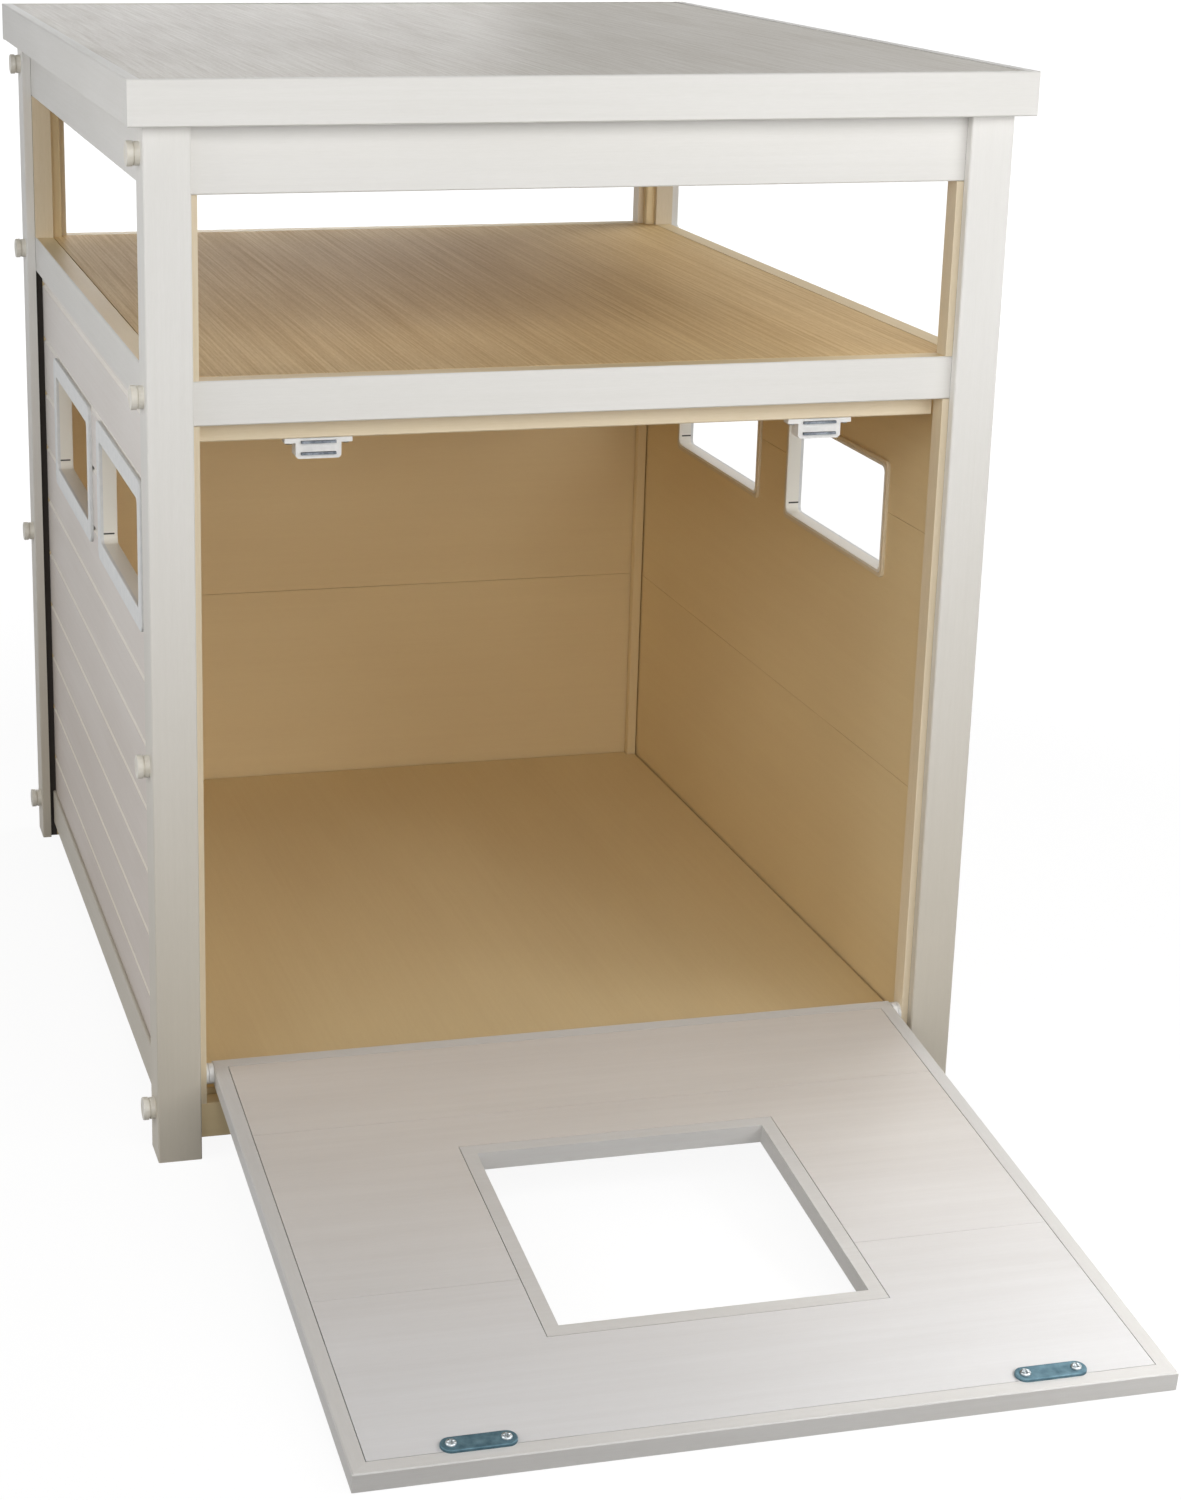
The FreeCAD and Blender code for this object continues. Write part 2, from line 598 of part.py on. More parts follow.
def make_apron(side):
    """Edging of the table top: a rim outside and a rebate inside that holds the panel."""
    long_side = side in ("left", "right")
    rim = "side_rim" if long_side else "end_rim"
    body = new_body("top_edging_" + side)
    section = new_sketch(body, "XZ_Plane")
    draw_polygon(section, [
        ("edge_chamfer", "0"), ("apron_depth", "0"), ("apron_depth", "apron_seat"),
        (rim, "apron_seat"), (rim, "apron_height"), ("edge_chamfer", "apron_height"),
        ("0", "apron_height - edge_chamfer"), ("0", "edge_chamfer")])
    start = "-post_inset"
    length = "top_width"
    if long_side:
        start = "end_rim - post_inset"
        length = "top_depth - 2 * end_rim"
    add_pad(body, section, length, reverse=True)
    if long_side:
        lap = "apron_depth - end_rim + fit_gap"
        ends = new_sketch(body, "YZ_Plane")
        draw_box(ends, "0", "0", lap, "apron_seat")
        draw_box(ends, "%s - (%s)" % (length, lap), "0", length, "apron_seat")
        add_pocket(body, ends, reverse=True)
    place_on_side(body, side, "-post_inset", start, "overall_height - apron_height")
    keep(body)


def make_top():
    for side in SIDES:
        make_apron(side)
    body = new_body("top_panel")
    section = new_sketch(body, "XY_Plane")
    draw_box(section, "side_rim + panel_gap", "end_rim + panel_gap",
             "top_width - side_rim - panel_gap", "top_depth - end_rim - panel_gap")
    add_pad(body, section, "top_panel_thickness")
    place(body, "-top_width / 2", "0", "post_top")
    keep(body)


def draw_window_box(sketch, inset):
    draw_box(sketch, inset, inset, "window_length - (%s)" % inset,
             "window_height - (%s)" % inset)


def draw_window_outline(sketch, inset, radius):
    draw_rounded_box(sketch, inset, inset, "window_length - (%s)" % inset,
                     "window_height - (%s)" % inset, radius)


def make_window_frame(label, side, sign):
    """Edging of a window: an outer lip and a sleeve through the wall."""
    body = new_body(label)
    lip = new_sketch(body, "YZ_Plane")
    draw_window_outline(lip, "0", "window_round")
    draw_window_box(lip, "window_border")
    add_pad(body, lip, "window_lip")
    sleeve = new_sketch(body, "YZ_Plane")
    draw_window_box(sleeve, "window_lip_width")
    draw_window_box(sleeve, "window_border")
    add_pad(body, sleeve, "board_thickness + 2 * window_lip")
    place_on_side(body, side, "board_plane - window_lip",
                  "cabinet_depth / 2 %s window_distance / 2 - window_length / 2" % sign,
                  "window_base")
    keep(body)


def make_window_ring(label, side, sign):
    """Inner lip of a window, pushed over the end of its sleeve."""
    body = new_body(label)
    ring = new_sketch(body, "YZ_Plane")
    draw_window_outline(ring, "window_lip_width - window_ring_width", "window_ring_round")
    draw_window_box(ring, "window_lip_width - running_gap")
    add_pad(body, ring, "window_lip")
    place_on_side(body, side, "board_face",
                  "cabinet_depth / 2 %s window_distance / 2 - window_length / 2" % sign,
                  "window_base")
    return body


def make_windows():
    for side, signs in (("left", "-+"), ("right", "+-")):
        names = zip(("front", "rear"), signs)
        rings = []
        for name, sign in names:
            make_window_frame("window_frame_%s_%s" % (side, name), side, sign)
            rings.append(make_window_ring("ring_%s_%s" % (side, name), side, sign))
        group("window_inner_rings_" + side, rings)


def make_strip(side, opens_along_x, base, top, doorway=False):
    """Filler strip in one of a post's two grooves; in the doorway bored for pivot and peg."""
    body = new_body("strip")
    section = new_sketch(body, "XY_Plane")
    if opens_along_x:
        draw_box(section, "rail_start", "rail_plane", "strip_face", "inner_plane")
    else:
        draw_box(section, "rail_plane", "rail_start", "inner_plane", "strip_face")
    add_pad(body, section, "%s - (%s)" % (top, base))
    if doorway:
        role = "YZ_Plane" if opens_along_x else "XZ_Plane"
        hole = new_sketch(body, role)
        draw_circle(hole, "pivot_line", "pivot_height - (%s)" % base,
                    "pivot_radius + running_gap")
        add_pocket(body, hole, reverse=opens_along_x)
        bore = new_sketch(body, role)
        draw_peg_bore(bore, "peg_line", "peg_middle - (%s)" % base)
        add_pocket(body, bore, "peg_bore_depth", reverse=opens_along_x)
    place_on_side(body, side, "0", "0", base)
    return body


def make_strips():
    upper = ("shelf_height", "top_rail_base - fit_gap")
    doorway = ("sill_height", "shelf_rail_base - fit_gap")
    strips = [make_strip(side, along_x, *upper) for side in SIDES for along_x in (True, False)]
    strips.append(make_strip("left", True, *doorway, doorway=True))
    strips.append(make_strip("front", False, *doorway, doorway=True))
    group("groove_strips", strips)


def make_peg(side, distance, height):
    """Locking peg: a turned head and collar on a square shank."""
    body = new_body("peg")
    section = new_sketch(body, "XY_Plane")
    draw_polygon(section, [
        ("0", "0"), ("0", "peg_head_radius"), ("peg_head_length", "peg_head_radius"),
        ("peg_head_length", "peg_collar_radius"), ("peg_stand", "peg_collar_radius"),
        ("peg_stand", "0")])
    add_revolution(body, section, "H_Axis")
    shank = new_sketch(body, "YZ_Plane", "peg_stand")
    half = "peg_shank_width / 2"
    draw_box(shank, "-" + half, "-" + half, half, half)
    add_pad(body, shank, "peg_shank_length")
    sink = "0" if side == "left" else "peg_sink"
    place_on_side(body, side, "%s - (peg_stand)" % sink, distance, height)
    return body


def make_pegs():
    places = ("peg_line", "cabinet_depth - peg_line")
    group("locking_pegs", [make_peg(side, distance, height) for side in ("left", "right")
                           for distance in places for height in PEG_HEIGHTS])


def mirrored(points, width, wanted):
    """Return outline points, reflected across the given width when wanted."""
    if not wanted:
        return points
    return [("%s - (%s)" % (width, x), y) for x, y in points]


def edging_section(wanted):
    slot_low = "door_middle - door_slot / 2"
    slot_high = "door_middle + door_slot / 2"
    slot_floor = "door_edging - (door_slot_depth)"
    points = [("edge_chamfer", "0"), ("door_edging", "0"), ("door_edging", slot_low),
              (slot_floor, slot_low), (slot_floor, slot_high), ("door_edging", slot_high),
              ("door_edging", "door_thickness"), ("edge_chamfer", "door_thickness"),
              ("0", "door_thickness - edge_chamfer"), ("0", "edge_chamfer")]
    return mirrored(points, "door_edging", wanted)


def bore_for_bush(body, across, offset, inward_is_x):
    bore = new_sketch(body, "YZ_Plane", offset)
    draw_circle(bore, across, "door_middle", "bush_radius + running_gap")
    add_pocket(body, bore, "bush_length + fit_gap", reverse=inward_is_x)


def make_side_edging(label, right):
    """Grooved edging along a side of the door, mitred at both ends and bored for its bush."""
    body = new_body(label)
    section = new_sketch(body, "XZ_Plane")
    draw_polygon(section, edging_section(right))
    add_pad(body, section, "door_length", reverse=True)
    mitres = new_sketch(body, "XY_Plane")
    wide = "door_edging"
    near = [("0", "0"), (wide, "0"), (wide, wide)]
    far = [("0", "door_length"), (wide, "door_length - door_edging"), (wide, "door_length")]
    draw_polygon(mitres, mirrored(near, wide, right))
    draw_polygon(mitres, mirrored(far, wide, right))
    add_pocket(body, mitres, reverse=True)
    bore_for_bush(body, "door_reach", "door_edging" if right else "0", not right)
    place_on_door(body, "door_width - door_edging" if right else "0", "0", "0")
    keep(body)


def make_end_edging(label, hinge):
    """Grooved edging along an end of the door, mitred at both ends."""
    body = new_body(label)
    section = new_sketch(body, "YZ_Plane")
    draw_polygon(section, edging_section(hinge))
    add_pad(body, section, "door_width")
    mitres = new_sketch(body, "XY_Plane")
    wide = "door_edging"
    outer, inner = (wide, "0") if hinge else ("0", wide)
    draw_polygon(mitres, [("0", outer), (wide, inner), ("0", inner)])
    draw_polygon(mitres, [("door_width", outer), ("door_width", inner),
                          ("door_width - door_edging", inner)])
    add_pocket(body, mitres, reverse=True)
    if hinge:
        line = "door_edging - door_heel"
        bore_for_bush(body, line, "0", True)
        bore_for_bush(body, line, "door_width", False)
    place_on_door(body, "0", "door_length - door_edging" if hinge else "0", "0")
    keep(body)


def door_board_section(start, end, first, last, vees):
    """Section of a door board along the door: V-grooves outside, a tongue towards the pivot."""
    low, high = ["door_middle %s door_tongue / 2" % sign for sign in "-+"]
    slot_low, slot_high = ["door_middle %s (door_slot) / 2" % sign for sign in "-+"]
    if first:
        near = "%s + seam_gap" % start
        points = [(near, high), ("%s - door_tongue_length" % start, high),
                  ("%s - door_tongue_length" % start, low), (near, low), (near, "0")]
    else:
        near = start
        points = [(start, slot_high), ("%s + door_slot_depth" % start, slot_high),
                  ("%s + door_slot_depth" % start, slot_low), (start, slot_low),
                  (start, "vee_depth"), ("%s + vee_depth" % start, "0")]
    for vee in vees:
        points += [("%s - vee_depth" % vee, "0"), (vee, "vee_depth"),
                   ("%s + vee_depth" % vee, "0")]
    if last:
        under = over = "%s - seam_gap" % end
        points += [(under, "0")]
    else:
        under, over = end, "%s - joint_gap" % end
        points += [("%s - vee_depth" % end, "0"), (end, "vee_depth")]
    points += [(under, low), ("%s + door_tongue_length" % end, low),
               ("%s + door_tongue_length" % end, high), (over, high), (over, "door_thickness"),
               (near, "door_thickness")]
    return points


def cut_entrance(body, first):
    """Cut the seat of the entrance's edging out of a door board, with a groove for its tongue."""
    left = "door_width / 2 - entrance_width / 2 - entrance_border - seam_gap"
    right = "door_width / 2 + entrance_width / 2 + entrance_border + seam_gap"
    low = "door_reach - entrance_low - entrance_length - entrance_border - seam_gap"
    high = "door_reach - entrance_low + entrance_border + seam_gap"
    if first:
        near, far, near_slot, far_slot = low, "near_seam + door_tongue_length", low, None
    else:
        near, far, near_slot, far_slot = "near_seam", high, None, high
    seat = new_sketch(body, "XY_Plane")
    draw_box(seat, left, near, right, far)
    add_pocket(body, seat, reverse=True)
    reach = "(entrance_tongue + fit_gap - seam_gap)"
    groove = new_sketch(body, "XY_Plane", "door_middle - (door_slot) / 2")
    start = near if near_slot is None else "%s - %s" % (near, reach)
    end = far if far_slot is None else "%s + %s" % (far, reach)
    draw_box(groove, "%s - %s" % (left, reach), start, "%s + %s" % (right, reach), end)
    add_pocket(body, groove, "door_slot", reverse=True)


def make_door_board(name, start, end, vees):
    """Board across the door with tongues on all edges that meet the edging."""
    first, last = name == "free", name == "hinge"
    body = new_body("door_board_" + name)
    section = new_sketch(body, "YZ_Plane", "door_edging + seam_gap")
    draw_polygon(section, door_board_section(start, end, first, last, vees))
    add_pad(body, section, "door_width - 2 * (door_edging + seam_gap)")
    tongue = new_sketch(body, "YZ_Plane", "door_edging - door_tongue_length")
    near = start if first else "%s + door_slot_depth" % start
    draw_box(tongue, near, "door_middle - door_tongue / 2", end, "door_middle + door_tongue / 2")
    add_pad(body, tongue, "door_width - 2 * door_edging + 2 * door_tongue_length")
    if not last:
        cut_entrance(body, first)
    place_on_door(body, "0", "0", "0")
    keep(body)


def make_entrance_frame():
    """Flush edging of the entrance with a tongue all round, held between two boards."""
    body = new_body("entrance_frame")
    wide = "entrance_width + 2 * entrance_border"
    long = "entrance_length + 2 * entrance_border"
    ring = new_sketch(body, "XY_Plane")
    draw_box(ring, "0", "0", wide, long)
    draw_box(ring, "entrance_border", "entrance_border", "entrance_border + entrance_width",
             "entrance_border + entrance_length")
    add_pad(body, ring, "door_thickness")
    tongue = new_sketch(body, "XY_Plane", "door_middle - door_tongue / 2")
    reach, root = "-entrance_tongue", "entrance_border / 2"
    draw_box(tongue, reach, reach, "%s + entrance_tongue" % wide, "%s + entrance_tongue" % long)
    draw_box(tongue, root, root, "%s - %s" % (wide, root), "%s - %s" % (long, root))
    add_pad(body, tongue, "door_tongue")
    place_on_door(body, "door_width / 2 - entrance_width / 2 - entrance_border",
                  "door_reach - entrance_low - entrance_length - entrance_border", "0")
    keep(body)


def make_strike(label, sign):
    """Strike plate with round ends on the inner face of the door."""
    body = new_body(label)
    section = new_sketch(body, "XY_Plane")
    draw_rounded_box(section, "0", "0", "strike_length", "strike_width", "strike_round")
    add_pad(body, section, "strike_thickness")
    place_on_door(body, "door_width / 2 %s catch_distance / 2 - strike_length / 2" % sign,
                  "strike_inset - strike_width / 2", "door_thickness")
    keep(body)


def make_bush(right):
    """Flanged bush in a side of the door, turned about the pivot axis."""
    body = new_body("bush")
    bore = "pivot_radius + running_gap"
    points = [("0", bore), ("0", "pivot_flange_radius"), ("bush_flange", "pivot_flange_radius"),
              ("bush_flange", "bush_radius"), ("bush_flange + bush_length", "bush_radius"),
              ("bush_flange + bush_length", bore)]
    section = new_sketch(body, "XY_Plane")
    draw_polygon(section, mirrored(points, "bush_flange + bush_length", right))
    add_revolution(body, section, "H_Axis")
    x = "door_width - bush_length" if right else "-(bush_flange)"
    place_on_door(body, x, "door_reach", "door_middle")
    return body


def make_pin(side):
    """Pivot pin with a flange that lies on the filler strip, its root in the front post."""
    body = new_body("pin")
    flange = "pivot_root + pivot_flange"
    tip = "pivot_root + pivot_flange + pivot_reach"
    section = new_sketch(body, "XY_Plane")
    draw_polygon(section, [
        ("0", "0"), ("0", "pivot_radius"), ("pivot_root", "pivot_radius"),
        ("pivot_root", "pivot_flange_radius"), (flange, "pivot_flange_radius"),
        (flange, "pivot_radius"), (tip, "pivot_radius"), (tip, "0")])
    add_revolution(body, section, "H_Axis")
    along = "pivot_line" if side == "left" else "cabinet_depth - pivot_line"
    place_on_side(body, side, "strip_face - pivot_root", along, "pivot_height")
    return body


def make_pivots():
    group("pivot_pins", [make_pin("left"), make_pin("right")])
    group("pivot_bushes", [make_bush(False), make_bush(True)])


def catch_start(sign, width):
    return "%s catch_distance / 2 - %s / 2" % ("-1 *" if sign == "-" else "1 *", width)


def make_batten():
    """Batten under the front shelf rail that the catches are screwed to."""
    body = new_body("catch_batten")
    section = new_sketch(body, "YZ_Plane")
    draw_polygon(section, [
        ("edge_chamfer", "0"), ("batten_depth - edge_chamfer", "0"),
        ("batten_depth", "edge_chamfer"), ("batten_depth", "batten_height"),
        ("0", "batten_height"), ("0", "edge_chamfer")])
    add_pad(body, section, "batten_length")
    place(body, "-batten_length / 2", "post_inset + catch_face", "batten_base")
    keep(body)


def make_housing(label, sign):
    """Catch housing with two ears, two slots for the pole plates and a seat for the magnet."""
    body = new_body(label)
    left = "(catch_width - catch_body_width) / 2"
    right = "(catch_width + catch_body_width) / 2"
    block = new_sketch(body, "XZ_Plane")
    draw_polygon(block, [
        ("%s + catch_round" % left, "0"), ("%s - catch_round" % right, "0"),
        (right, "catch_round"), (right, "catch_height"), (left, "catch_height"),
        (left, "catch_round")])
    add_pad(body, block, "catch_depth", reverse=True)
    ears = new_sketch(body, "XZ_Plane")
    draw_box(ears, "0", "catch_height - catch_ear_height", "catch_width", "catch_height")
    add_pad(body, ears, "catch_ear_depth", reverse=True)
    slots = new_sketch(body, "XZ_Plane")
    near = "(catch_width - pole_length) / 2 - fit_gap"
    far = "(catch_width + pole_length) / 2 + fit_gap"
    for low in ("pole_low", "pole_low + pole_pitch"):
        draw_box(slots, near, low, far, "%s + pole_thickness + fit_gap" % low)
    add_pocket(body, slots)
    seat = new_sketch(body, "XZ_Plane", "-catch_depth")
    draw_box(seat, near, "pole_low + pole_thickness / 2", far, "pole_low + pole_pitch + fit_gap")
    add_pocket(body, seat, "magnet_depth + fit_gap", reverse=True)
    place(body, catch_start(sign, "catch_width"), "post_inset + housing_face",
          "batten_base - catch_height")
    keep(body)


def make_block(sign, width, depth, height, y, z):
    block = DOC.addObject("Part::Box", "block")
    block.setExpression("Length", formula(width))
    block.setExpression("Width", formula(depth))
    block.setExpression("Height", formula(height))
    place(block, catch_start(sign, width), y, z)
    return block


def make_catches():
    """Two magnetic catches under the batten: housings and magnets with their pole plates."""
    blocks = []
    base = "batten_base - catch_height"
    for name, sign in (("left", "-"), ("right", "+")):
        make_housing("catch_housing_" + name, sign)
        for low in ("pole_low", "pole_low + pole_pitch"):
            blocks.append(make_block(sign, "pole_length", "pole_depth", "pole_thickness",
                                     "post_inset + catch_face", "%s + %s" % (base, low)))
        blocks.append(make_block(
            sign, "pole_length", "magnet_depth", "pole_pitch - pole_thickness",
            "post_inset + housing_face + catch_depth - magnet_depth",
            "%s + pole_low + pole_thickness" % base))
    group("catch_magnets", blocks)


def make_door():
    make_side_edging("door_edge_left", False)
    make_side_edging("door_edge_right", True)
    make_end_edging("door_edge_free", False)
    make_end_edging("door_edge_hinge", True)
    make_door_board("free", "door_edging", "near_seam",
                    ["near_seam - %d * groove_pitch" % number for number in (3, 2, 1)])
    make_door_board("middle", "near_seam", "far_seam",
                    ["near_seam + %d * groove_pitch" % number for number in (1, 2, 3)])
    make_door_board("hinge", "far_seam", "door_length - door_edging",
                    ["far_seam + groove_pitch"])
    make_entrance_frame()
    make_strike("strike_plate_left", "-")
    make_strike("strike_plate_right", "+")


def check_features():
    """Stop when a feature failed or a pocket took nothing away."""
    for item in DOC.Objects:
        if "Invalid" in item.State or "Error" in item.State:
            raise RuntimeError("%s of %s failed" % (item.Name, item.getParentGeoFeatureGroup()))
    for pocket in CUTS:
        if pocket.BaseFeature.Shape.Volume - pocket.Shape.Volume < 0.01:
            owner = pocket.getParentGeoFeatureGroup()
            raise RuntimeError("%s in %s cuts nothing" % (pocket.Name, owner.Label))


def export_nodes():
    os.makedirs("parts", exist_ok=True)
    for item in NODES:
        if item.Shape.isNull() or not item.Shape.isValid():
            raise RuntimeError("%s has no valid shape" % item.Label)
        item.Shape.exportStep("parts/%s.step" % item.Label)


def main():
    fill_sheet()
    make_posts()
    make_rails()
    make_walls()
    make_deck("shelf_panel", "shelf_height", "shelf_thickness")
    make_deck("floor_panel", "floor_height", "floor_thickness")
    make_top()
    make_windows()
    make_strips()
    make_pegs()
    make_batten()
    make_catches()
    make_pivots()
    make_door()
    DOC.recompute()
    check_features()
    export_nodes()


main()
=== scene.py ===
"""Looks of the litter box enclosure: finishes, small hardware, studio and camera.

The cabinet and its fold-down door are extruded wood-and-plastic composite, painted off-white on
the outside and left tan inside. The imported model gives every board, post and rail its shape; this
script dresses them, and makes the window edgings, pegs, strike plates and screws in full detail.
Lengths are millimetres in the classes and metres in the meshes.
"""

import logging
import math
from dataclasses import dataclass, replace
from enum import Enum
from functools import cache
from typing import Optional, Sequence

import bpy
import numpy as np
from mathutils import Matrix, Vector


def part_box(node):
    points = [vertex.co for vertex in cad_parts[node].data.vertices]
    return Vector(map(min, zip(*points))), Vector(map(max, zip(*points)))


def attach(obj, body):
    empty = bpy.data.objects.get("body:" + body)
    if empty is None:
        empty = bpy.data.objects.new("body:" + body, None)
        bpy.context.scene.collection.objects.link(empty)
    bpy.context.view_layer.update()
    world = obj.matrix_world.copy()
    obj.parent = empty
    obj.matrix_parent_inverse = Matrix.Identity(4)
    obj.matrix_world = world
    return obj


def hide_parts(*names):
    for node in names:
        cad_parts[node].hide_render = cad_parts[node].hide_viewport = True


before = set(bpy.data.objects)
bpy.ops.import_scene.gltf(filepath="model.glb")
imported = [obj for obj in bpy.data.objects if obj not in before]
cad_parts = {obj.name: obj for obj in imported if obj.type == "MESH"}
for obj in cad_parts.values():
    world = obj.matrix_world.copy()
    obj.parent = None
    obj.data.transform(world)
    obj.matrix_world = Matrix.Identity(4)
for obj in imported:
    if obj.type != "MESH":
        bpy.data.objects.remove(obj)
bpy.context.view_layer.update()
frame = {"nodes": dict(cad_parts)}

MM = 0.001
LOG = logging.getLogger("enclosure")

Tree = bpy.types.NodeTree
Socket = bpy.types.NodeSocket
# Vertices in millimetres, and the vertex numbers of each face
Shape = tuple[np.ndarray, list[list[int]]]


class Body(Enum):
    """The two bodies of the model: the cabinet stands still and the door swings."""

    CABINET = "cabinet"
    DOOR = "door"


class Side(Enum):
    """The sign of X on the left and right of the cabinet, seen from the door."""

    LEFT = -1
    RIGHT = 1


class Grain(Enum):
    """The direction in which a composite profile was extruded, so its streaks run that way."""

    ALONG_X = 0
    ALONG_Y = 1
    ALONG_Z = 2


@dataclass(frozen=True)
class PaintShell:
    """The box round the middle of the cabinet that the paint doesn't reach into.

    A profile is painted on its outer face, so a point is painted where it lies further from the
    middle than the box, to either side or to the front or rear.
    """

    half_width: float
    half_depth: float
    middle_y: float = 214.96


# Shells inside the outer faces of the posts, the rails, the wall boards and the window edgings.
# The posts are painted as far in as their grooves, whose outer corners carry a dark painted
# shadow. The paint of the bottom rails also covers their ledge under the boards, and the boards
# have one coat in their V-grooves, lighter as painted light against the shade there, and one on
# top.
POST_SHELL = PaintShell(half_width=291.6, half_depth=354.6)
RAIL_SHELL = PaintShell(half_width=290.4, half_depth=353.4)
LOW_RAIL_SHELL = PaintShell(half_width=285.2, half_depth=348.2)
GROOVE_SHELL = PaintShell(half_width=279.0, half_depth=342.0)
SHADED_SHELL = PaintShell(half_width=285.6, half_depth=348.6)
EDGING_SHELL = PaintShell(half_width=285.6, half_depth=400.0)
BOARD_SHELL = PaintShell(half_width=285.45, half_depth=348.45)


# Colours and shader nodes


def linear(hex_colour: str) -> tuple[float, float, float, float]:
    """Turns an sRGB hex colour into the linear values that a shader takes.

    Args:
        hex_colour: Six hex digits.

    Returns:
        Linear red, green and blue, and an alpha of 1.
    """
    channels = np.array([int(hex_colour[start : start + 2], 16) for start in (0, 2, 4)]) / 255
    red, green, blue = np.where(
        channels <= 0.04045, channels / 12.92, ((channels + 0.055) / 1.055) ** 2.4
    ).tolist()
    return red, green, blue, 1.0


def add_node(
    tree: Tree,
    kind: str,
    settings: Optional[dict[str, object]] = None,
    inputs: Optional[dict[object, object]] = None,
) -> bpy.types.Node:
    """Adds a shader node with its settings, constants and links.

    Args:
        tree: The node tree that it joins.
        kind: The node's type name.
        settings: Values of the node's own properties.
        inputs: For each input, by name or number, a constant or the output that feeds it.

    Returns:
        The new node.
    """
    node = tree.nodes.new(kind)
    for name, value in (settings or {}).items():
        setattr(node, name, value)
    for key, value in (inputs or {}).items():
        if isinstance(value, Socket):
            tree.links.new(value, node.inputs[key])
        else:
            node.inputs[key].default_value = value
    return node


def new_material(name: str) -> tuple[bpy.types.Material, Tree]:
    """Makes an empty material.

    Args:
        name: The finish in a maker's words.

    Returns:
        The material and its cleared node tree.
    """
    material = bpy.data.materials.new(name)
    material.use_nodes = True
    material.node_tree.nodes.clear()
    return material, material.node_tree


def close_material(tree: Tree, shader: Socket) -> None:
    """Feeds a shader into the material's output."""
    add_node(tree, "ShaderNodeOutputMaterial", inputs={"Surface": shader})


def noise_value(
    tree: Tree, coordinates: Socket, cell_mm: Sequence[float], detail: float, roughness: float
) -> Socket:
    """Noise whose features have a real size along each axis.

    Args:
        tree: The material's nodes.
        coordinates: Object coordinates.
        cell_mm: Size of a feature along X, Y and Z, in millimetres.
        detail: Number of finer layers.
        roughness: Weight of each finer layer.

    Returns:
        The noise, about 0.5 in the middle.
    """
    per_metre = tuple(1 / (size * MM) for size in cell_mm)
    scaled = add_node(tree, "ShaderNodeMapping", inputs={"Vector": coordinates, "Scale": per_metre})
    inputs = {"Vector": scaled.outputs[0], "Scale": 1.0, "Detail": detail, "Roughness": roughness}
    return add_node(tree, "ShaderNodeTexNoise", inputs=inputs).outputs["Fac"]


def calculated(tree: Tree, operation: str, *values: object) -> Socket:
    """The result of a Math node for numbers or other outputs."""
    node = add_node(tree, "ShaderNodeMath", {"operation": operation}, dict(enumerate(values)))
    return node.outputs[0]


def weighted(tree: Tree, value: Socket, weight: float, addend: object) -> Socket:
    """Value times weight plus addend, where the addend is a number or another output."""
    return calculated(tree, "MULTIPLY_ADD", value, weight, addend)


def remapped(
    tree: Tree,
    value: Socket,
    source: tuple[float, float],
    target: tuple[float, float],
    interpolation: str = "LINEAR",
) -> Socket:
    """Maps a range of values to another one, clamped at its ends.

    Args:
        tree: The material's nodes.
        value: The output to map.
        source: First and last value of the range that it is in.
        target: What these two become.
        interpolation: How it runs between them.

    Returns:
        The mapped value.
    """
    ends = {1: source[0], 2: source[1], 3: target[0], 4: target[1]}
    settings = {"interpolation_type": interpolation}
    return add_node(tree, "ShaderNodeMapRange", settings, {0: value, **ends}).outputs[0]


def blended(
    tree: Tree, factor: object, first: object, second: object, mode: str = "MIX"
) -> Socket:
    """A colour, or another value, between two others.

    Args:
        tree: The material's nodes.
        factor: 0 for the first and 1 for the second, as it lies on the first in the mode.
        first: The lower one.
        second: The upper one.
        mode: How the upper one covers the lower one.

    Returns:
        The result.
    """
    settings = {"data_type": "RGBA", "blend_type": mode}
    inputs = {"Factor": factor, 6: first, 7: second}
    return add_node(tree, "ShaderNodeMix", settings, inputs).outputs[2]


def mixed_shaders(
    tree: Tree, factor: Socket, first: bpy.types.Node, second: bpy.types.Node
) -> bpy.types.Node:
    """The first shader at factor 0 and the second at factor 1."""
    inputs = {0: factor, 1: first.outputs[0], 2: second.outputs[0]}
    return add_node(tree, "ShaderNodeMixShader", inputs=inputs)


def close_surface(
    tree: Tree, colour: Socket, roughness: Socket, bump: dict[str, object], **optics: float
) -> None:
    """Closes a material with a principled shader.

    Args:
        tree: The material's nodes.
        colour: Base colour.
        roughness: Roughness of the surface.
        bump: Strength, Distance in metres and Height of its relief.
        optics: Other constants of the shader, with an underscore for each space in their names.
    """
    relief = add_node(tree, "ShaderNodeBump", inputs=bump)
    inputs = {"Base Color": colour, "Roughness": roughness, "Normal": relief.outputs[0]}
    inputs.update({name.replace("_", " "): value for name, value in optics.items()})
    close_material(tree, add_node(tree, "ShaderNodeBsdfPrincipled", inputs=inputs).outputs[0])


def height_ramp(tree: Tree, coordinates: Socket, span: tuple[float, float]) -> Socket:
    """A share that goes smoothly from 1 to 0 over a span of heights.

    Args:
        tree: The material's nodes.
        coordinates: Object coordinates.
        span: The heights of 1 and of 0, in millimetres.

    Returns:
        The share.
    """
    height = add_node(tree, "ShaderNodeSeparateXYZ", inputs={0: coordinates}).outputs["Z"]
    source = (span[0] * MM, span[1] * MM)
    return remapped(tree, height, source, (1.0, 0.0), "SMOOTHSTEP")


